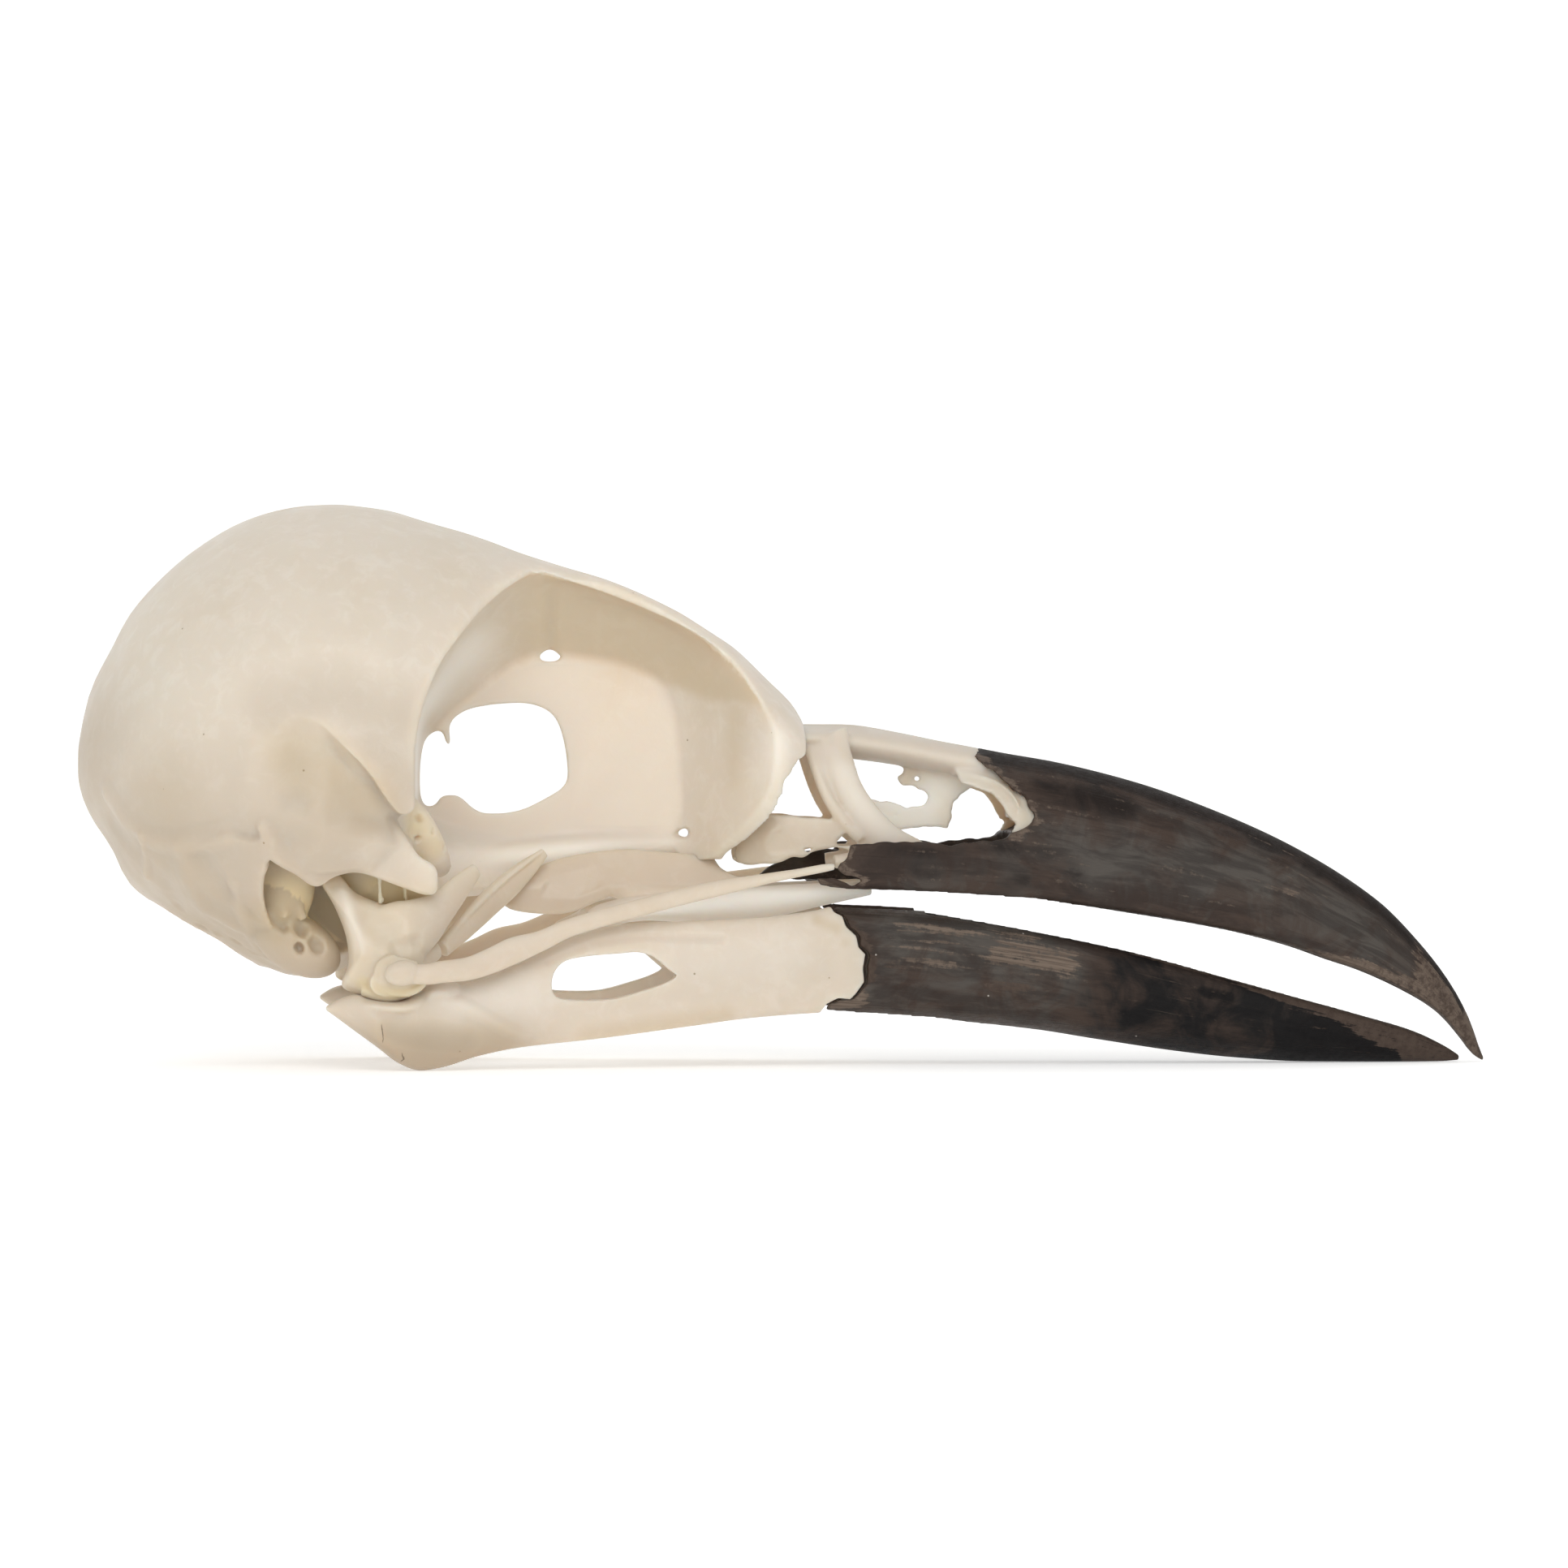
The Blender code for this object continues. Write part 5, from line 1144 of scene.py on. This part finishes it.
# Paint: (channel, share at each point) or (channel, path, width, share).
CRANIUM_PAINT = [
    # Painted shade under the roof of the socket; pale paint on the thin wall between the sockets as painted
    # light that shines through it, with a painted shade over it; painted shade low on the braincase and at
    # its back.
    (TAN_AND_SHADE, under_brow), (CHALK_AND_LIGHT, thin_wall), (PAINTED_SHADE, lambda points: 0.42 * thin_wall(points)),
    (PAINTED_SHADE, low_painted_shade),
    # Painted shade in the temple hollow, on the blade below it, at the front edge and in the soft dip above
    # it.
    (TAN_AND_SHADE, [(-21.4, 13.4), (-20, 12.6), (-18.6, 11.6)], 2.4, 0.6),
    (PAINTED_SHADE, [(-20.2, 13.6), (-19, 12.4), (-18, 11.3)], 1.6, 0.5),
    (PAINTED_SHADE, [(-18.2, 14), (-17, 12.4)], 1.8, 0.4),
    (PAINTED_SHADE, [(-22, 11, 10.4), (-20.5, 10.9, 9.6), (-19.6, 10.6, 9.4)], 1.5, 0.62),
    (PAINTED_SHADE, [(-22.3, 15.6), (-20.5, 16.3), (-18.8, 15.8), (-17.2, 15.2)], 2.6, 0.36),
    (YELLOW, [(-16.6, 8.4, 11), (-15.6, 7.2, 9.6)], 1, 0.5),
    # Tan at the back of the head and under the ear wing: partly stain, partly painted shade.
    (TAN_AND_SHADE, [(-27.2, 11.5), (-26, 8), (-24.2, 6)], 3.6, 0.3),
    (TAN_AND_SHADE, [(-26, 6.5), (-23, 4.6)], 1.6, 0.4),
    (TAN_AND_SHADE, [(-2.6, 3.8, 15.2), (-3, 3.4, 12.8)], 1.3, 0.45),
    (YELLOW, [(-22, 8, 7), (-20.6, 6.5, 6.2), (-18.5, 6, 6.5), (-17.2, 7.4, 8)], 2.6, 1),
    (YELLOW, [(-22.6, 7, 9), (-20, 7, 8)], 2, 0.8),
    (YELLOW, [(-16.6, 8, 10.6)], 1.3, 0.6),
    # Painted light on the rear wall and along the floor of the socket, where shade falls.
    (CHALK_AND_LIGHT, [(-15.6, 3, 11), (-15.4, 3, 15), (-13.8, 2.6, 17.5)], 2.6, 1),
    (CHALK_AND_LIGHT, [(-15, 1.9, 9.7), (-9, 1, 9.7), (-6, 0.7, 10.4)], 2.1, 1),
    (YELLOW, [(-12.5, 0.9, 9.6), (-9, 0.8, 9.7)], 0.9, 0.35),
    (CHALK_AND_LIGHT, [(-1.6, 5.2, 12.8), (-0.6, 5.3, 14)], 1.4, 0.5),
]
NOSE_PAINT = [
    # Painted shade over the nose bones.
    (PAINTED_SHADE, nose_painted_shade),
    # Pale thin bone of the strap, bars, lace and nostril front, brightened as painted light shining through
    # it.
    (CHALK_AND_LIGHT, [(1, 2.8, 14.4), (5, 1.6, 13.8), (8.5, 1.4, 13.2)], 2, 0.7),
    (CHALK_AND_LIGHT, [(1.8, 3, 13.6), (2.6, 3.5, 12), (4.6, 3.5, 9.6)], 1.2, 0.8),
    (CHALK_AND_LIGHT, [(3.6, 0, 11.2), (6.2, 0, 10.8), (6.6, 0, 12.2), (8.2, 0, 12.2)], 1.3, 1),
    (TAN_AND_SHADE, [(9, 2.4, 12.5), (9.9, 2.8, 12), (10.4, 3.1, 11.3), (10.4, 3.3, 10.6)], 0.4, 0.3),
    (CHALK_AND_LIGHT, [(9, 0, 12.4), (10.1, 0, 11)], 3, 0.7),
]
UPPER_HORN_PAINT = [
    (WORN, upper_wear), (BLACK, dark_ridge),
    (WORN, [(2.6, 5.15, 9.6), (2.2, 5.2, 8.8), (2.5, 5.2, 8.3), (3.1, 5.1, 8.1)], 0.5, 1),
    (WORN, [(1, 5.2, 8.1), (2, 5.1, 7.7)], 0.4, 0.9),
    (WORN, [(8.4, 1.5, 13.3), (9.3, 2.6, 12.6), (9.9, 3.1, 12), (10.5, 3.3, 11.3), (10.6, 3.5, 10.7),
            (9.9, 3.8, 10.2)], 0.6, 1),
    (WORN, [(9.3, 2.1, 12.6), (9.9, 2.5, 12), (10.5, 2.8, 11.3), (10.6, 3, 10.7), (9.9, 3.3, 10.1)], 0.6, 1),
    (WORN, [(22, 2.2, 7.7), (22.4, 2.2, 7.6)], 0.45, 0.45),
    (BLACK, [(11.3, 2.9, 12.3), (13, 2.6, 11.9), (14.6, 2.4, 11.5)], 1.9, 0.7),
    (BLACK, [(11, 3.8, 9.6), (12.2, 3.7, 8.6), (12.4, 3.7, 7.6)], 1.3, 0.4),
    (BLACK, [(2.4, 5.2, 9.5), (6, 4.7, 9.4), (10, 4, 9.6)], 0.7, 0.5),
    (BLACK, [(3, 5, 8.8), (6.5, 4.6, 8.5), (9, 4.2, 8.3)], 1, 0.3),
    (BLACK, [(8.8, 4.3, 7.6), (11.2, 3.9, 8.4)], 1, 0.4),
    # Painted sheen: grey along the middle of the upper bill, where the horn catches the light.
    (GREY_AND_SHEEN, [(12, 3.5, 9.5), (18, 2.8, 8.4), (22, 2.2, 7.2), (25.5, 1.6, 5.6)], 1.9, 0.9),
]
LOWER_HORN_PAINT = [
    (WORN, lower_wear), (BLACK, lower_black),
    (WORN, [(5, 4.5, 5.9), (8, 4, 5.7), (10.5, 3.6, 5.4)], 1.1, 0.5),
    (WORN, [(9.2, 3.9, 4.9), (10.6, 3.6, 4.8), (12.2, 3.3, 4.5)], 1, 0.85),
    (WORN, [(4.6, 4.6, 4.6), (6.8, 4.3, 4.3)], 0.9, 0.32),
    (WORN, [(9, 3.9, 3.6), (10.4, 3.7, 3.5)], 0.6, 0.55),
    (WORN, [(1.7, 5, 7), (2.5, 4.9, 6.4), (3.1, 4.8, 5.5), (3.45, 4.7, 4.8), (3.4, 4.7, 3.8),
            (2.9, 4.7, 3.1)], 0.5, 1),
    (WORN, [(3.1, 4.6, 2.9), (2.5, 4.6, 2.6), (1.8, 4.7, 2.4)], 0.75, 1),
    (GREY_AND_SHEEN, [(5, 4.5, 5.9), (10.5, 3.6, 5), (12.4, 3.3, 4.5)], 1.8, 1),
    (GREY_AND_SHEEN, [(3, 4.7, 2.9), (1.8, 4.8, 2.4)], 1, 1),
    (GREY_AND_SHEEN, [(5, 4.5, 5.4), (8, 4, 4.2)], 1.4, 0.8),
    (BLACK, [(18.2, 2.5, 3.2), (19.4, 2.4, 2.9)], 0.7, 0.9),
]
JAW_PAINT = [
    # Painted shade over the jaw, deeper toward the underside of its rear and on its lower plane.
    (PAINTED_SHADE, jaw_painted_shade),
    (TAN_AND_SHADE, [(-17.5, 9.3, 1.2), (-15.5, 8.9, 0.9), (-13, 8.2, 0.9)], 1.8, 0.6),
    (TAN_AND_SHADE, [(-9, 7, 1.5), (-3, 6, 2.3)], 0.8, 0.4),
    # Painted light along the middle of the jaw.
    (CHALK_AND_LIGHT, [(-14.5, 8.5, 3.2), (-11.5, 8, 3.2)], 1.8, 0.5),
    (CHALK_AND_LIGHT, [(-12, 8.1, 3.2), (-5, 6.6, 4.6), (0, 5.5, 4.9)], 1.6, 0.25),
    (TAN_AND_SHADE, [(1.1, 4.9, 6.3), (1.9, 4.8, 6)], 0.5, 1),
    (TAN_AND_SHADE, [(2.3, 4.8, 5.4)], 0.4, 1),
]
JOINT_PAINT = [
    # An even painted shade over these bones.
    (PAINTED_SHADE, lambda points: 0.22),
    (YELLOW, [(-19, 8, 7.6), (-17.5, 8.5, 3.4)], 3.2, 0.2),
    (YELLOW, [(-18.6, 8.8, 3.7), (-17.2, 9.2, 3.4), (-16, 8.9, 3.8)], 0.7, 0.7),
    (CHALK_AND_LIGHT, [(-19.5, 9, 7.9), (-18.9, 9.2, 5.6)], 0.8, 0.6),
]
# An even painted shade over the cheek bar, with painted light along it.
CHEEK_PAINT = [(PAINTED_SHADE, lambda points: 0.34), (CHALK_AND_LIGHT, [(-14, 9, 5), (-6, 7, 7.2), (1.5, 5.2, 8.8)], 1, 0.5)]
# Painted shade over the palate, less on its front strap, and painted light on its wing, which lies in the
# cheek bar's shadow.
PALATE_PAINT = [(PAINTED_SHADE, palate_painted_shade), (CHALK_AND_LIGHT, [(-8, 5, 6.4), (-4.2, 4.4, 6.9), (3, 3.4, 7.7)], 2, 1)]
CRACKS = [(-17.85, 1.2, 2.1), (-17.05, 0.35, 0.85)]  # each an x, and the heights it runs between


def lay_grain(obj, top, bottom, half):
    """Stores where each corner of a horn lies: along it, up its side and round it."""
    along, out, height = (corners(obj.data) / MM).T
    floor = table_at(bottom, along)
    rise = (height - floor) / np.maximum(table_at(top, along) - floor, 0.05)
    round_it = out / np.maximum(table_at(half, along), 0.05)
    stored = np.stack([along / 10.0, np.clip(rise, -0.5, 1.5), np.clip(round_it, -1.5, 1.5)], axis=1)
    attribute = obj.data.attributes.new("grain", "FLOAT_VECTOR", "POINT")
    attribute.data.foreach_set("vector", stored.astype(np.float32).ravel())


def dress_pair(make, name, material, node_name, most, rows):
    """Makes a left bone and its right twin, and finishes both."""
    left = make(bpy.context.scene.skull_sizes)
    for obj, side in ((left, "left"), (twin(left), "right")):
        dress(obj, f"{name}_{side}_bone", material, [f"{node_name}_{side}"], most, rows)


class SKULL_OT_cranium(Operator):
    """Models the braincase, forehead and sockets"""

    bl_idname = "skull.cranium"
    bl_label = "Cranium"

    def execute(self, context):
        sizes = context.scene.skull_sizes
        look = cleaned_bone("Cleaned bone of the cranium", context.scene.skull_bone)
        dress(make_cranium(sizes), "cranium_bone", look, ["cranium"], sizes.bone_faces, CRANIUM_PAINT)
        return {"FINISHED"}


class SKULL_OT_nose(Operator):
    """Models the bare bone round the nostrils"""

    bl_idname = "skull.nose"
    bl_label = "Nose bones"

    def execute(self, context):
        sizes = context.scene.skull_sizes
        look = cleaned_bone("Thin bone of the nose", context.scene.skull_bone)
        dress(make_upper_jaw(sizes), "nose_bone", look, ["upper_jaw"], sizes.bone_faces, NOSE_PAINT)
        return {"FINISHED"}


class SKULL_OT_horns(Operator):
    """Models the horn of the upper and the lower bill"""

    bl_idname = "skull.horns"
    bl_label = "Bill horn"

    def execute(self, context):
        sizes = context.scene.skull_sizes
        for place, make, cool, bare_umber, rows, tables in (
                ("upper", make_upper_horn, "#1F1815", (0.25, 0.9), UPPER_HORN_PAINT,
                 (CULMEN, UPPER_EDGE, UPPER_HALF)),
                ("lower", make_lower_horn, "#08080A", (0.85, 1), LOWER_HORN_PAINT,
                 (LOWER_EDGE, GONYS, LOWER_HALF))):
            look = bill_horn(f"Horn of the {place} bill", context.scene.skull_horn, linear(cool), bare_umber)
            horn = dress(make(sizes), place + "_bill_horn", look, [place + "_bill_sheath"],
                         sizes.horn_faces, rows)
            lay_grain(horn, *tables)
        return {"FINISHED"}


class SKULL_OT_lower_jaw(Operator):
    """Models both branches of the lower jaw"""

    bl_idname = "skull.lower_jaw"
    bl_label = "Lower jaw"

    def execute(self, context):
        look = cleaned_bone("Cleaned bone of the lower jaw", context.scene.skull_bone, cracks=CRACKS)
        dress_pair(make_jaw_branch, "jaw_branch", look, "mandible_ramus", 90000, JAW_PAINT)
        return {"FINISHED"}


class SKULL_OT_joint_bones(Operator):
    """Models the quadrates, cheek bars and struts that carry the jaws"""

    bl_idname = "skull.joint_bones"
    bl_label = "Joint bones"

    def execute(self, context):
        bone = context.scene.skull_bone
        look = cleaned_bone("Greasy bone of the jaw joint", bone, 0.06)
        dress_pair(make_quadrate, "hinge", look, "quadrate", 50000, JOINT_PAINT)
        dress_pair(make_pterygoid, "strut", look, "pterygoid", 20000, JOINT_PAINT)
        look = cleaned_bone("Cleaned bone of the cheek bars", bone)
        dress_pair(make_cheek_bar, "cheek_bar", look, "jugal", 40000, CHEEK_PAINT)
        return {"FINISHED"}


class SKULL_OT_palate(Operator):
    """Models the bones of the palate"""

    bl_idname = "skull.palate"
    bl_label = "Palate"

    def execute(self, context):
        look = cleaned_bone("Thin bone of the palate", context.scene.skull_bone)
        dress_pair(make_palatine, "palate_plate", look, "palatine", 50000, PALATE_PAINT)
        return {"FINISHED"}


def make_sweep():
    """The white sheet: flat under the skull, then bent up behind it. In metres."""
    flat_end, bend_run, radius = 0.45, 0.3, 0.19
    bm = bmesh.new()
    bmesh.ops.create_grid(bm, x_segments=2, y_segments=48, size=1)
    for vert in bm.verts:
        run = 0.9 * (vert.co.y + 1.0) - 0.75
        turn = held((run - flat_end) / bend_run) * math.pi / 2
        rise = radius * (1.0 - math.cos(turn)) + max(run - (flat_end + bend_run), 0.0) * 4.0
        vert.co = (vert.co.x * 1.2, min(run, flat_end) + radius * math.sin(turn), rise)
    sweep = placed(bm, "white_sweep")
    sweep.data.polygons.foreach_set("use_smooth", [True] * len(sweep.data.polygons))
    return sweep


class SKULL_OT_stage(Operator):
    """Sets up the white sweep, the lights and the camera"""

    bl_idname = "skull.stage"
    bl_label = "Studio"

    def execute(self, context):
        scene = context.scene
        studio = scene.skull_studio
        sweep = make_sweep()
        sweep.data.materials.append(white_sweep("White acrylic sweep", studio.glow))
        for name, place, target, size, watts in (
                ("front_light", (-0.04, -0.59, 0.32), (0, 0, 0.01), 0.45, studio.front),
                ("overhead_light", (-0.1, 0.1, 0.6), (0, 0, 0), 0.5, studio.overhead)):
            data = bpy.data.lights.new(name, "AREA")
            data.shape, data.size, data.energy = "SQUARE", size, watts
            light = bpy.data.objects.new(name, data)
            scene.collection.objects.link(light)
            light.location = place
            light.rotation_euler = (Vector(target) - Vector(place)).to_track_quat("-Z", "Y").to_euler()
        scene.world = bpy.data.worlds.new("studio")
        scene.world.use_nodes = True
        surround = scene.world.node_tree.nodes["Background"].inputs
        surround["Color"].default_value = (1, 1, 1, 1)
        surround["Strength"].default_value = studio.surround
        scene.view_settings.view_transform = "Standard"
        data = bpy.data.cameras.new("photo_camera")
        data.sensor_width = 36
        data.lens = 36 * studio.distance / studio.view_width
        data.clip_start = 0.01
        scene.camera = bpy.data.objects.new("photo_camera", data)
        scene.collection.objects.link(scene.camera)
        yaw, rise = math.radians(-3.5), math.radians(0.5)
        back = Vector((math.sin(yaw) * math.cos(rise), -math.cos(yaw) * math.cos(rise), math.sin(rise)))
        scene.camera.location = Vector((0, 0, 0.01227)) + back * studio.distance
        scene.camera.rotation_euler = (-back).to_track_quat("-Z", "Y").to_euler()
        return {"FINISHED"}


class SKULL_PT_finish(Panel):
    """Tools and settings of the skull's finish"""

    bl_label = "Magpie skull"
    bl_idname = "SKULL_PT_finish"
    bl_space_type = "VIEW_3D"
    bl_region_type = "UI"
    bl_category = "Skull"

    def draw(self, context):
        layout = self.layout
        scene = context.scene
        for label, settings in (("Sizes", scene.skull_sizes), ("Bone", scene.skull_bone),
                                ("Horn", scene.skull_horn), ("Studio", scene.skull_studio)):
            box = layout.box()
            box.label(text=label)
            for key in settings.bl_rna.properties.keys():
                if key not in ("rna_type", "name"):
                    box.prop(settings, key)
        for operator in OPERATORS:
            layout.operator(operator.bl_idname)


OPERATORS = (SKULL_OT_cranium, SKULL_OT_nose, SKULL_OT_horns, SKULL_OT_lower_jaw, SKULL_OT_joint_bones,
             SKULL_OT_palate, SKULL_OT_stage)
SETTINGS = {"skull_sizes": SkullSizes, "skull_bone": BoneColours, "skull_horn": HornColours,
            "skull_studio": StudioSettings}
CLASSES = (*SETTINGS.values(), *OPERATORS, SKULL_PT_finish)


def register():
    for cls in CLASSES:
        bpy.utils.register_class(cls)
    for name, cls in SETTINGS.items():
        setattr(bpy.types.Scene, name, PointerProperty(type=cls))


def unregister():
    for name in SETTINGS:
        delattr(bpy.types.Scene, name)
    for cls in reversed(CLASSES):
        bpy.utils.unregister_class(cls)


def main():
    register()
    bpy.ops.skull.cranium()
    bpy.ops.skull.nose()
    bpy.ops.skull.horns()
    bpy.ops.skull.lower_jaw()
    bpy.ops.skull.joint_bones()
    bpy.ops.skull.palate()
    bpy.ops.skull.stage()


if __name__ == "__main__":
    main()
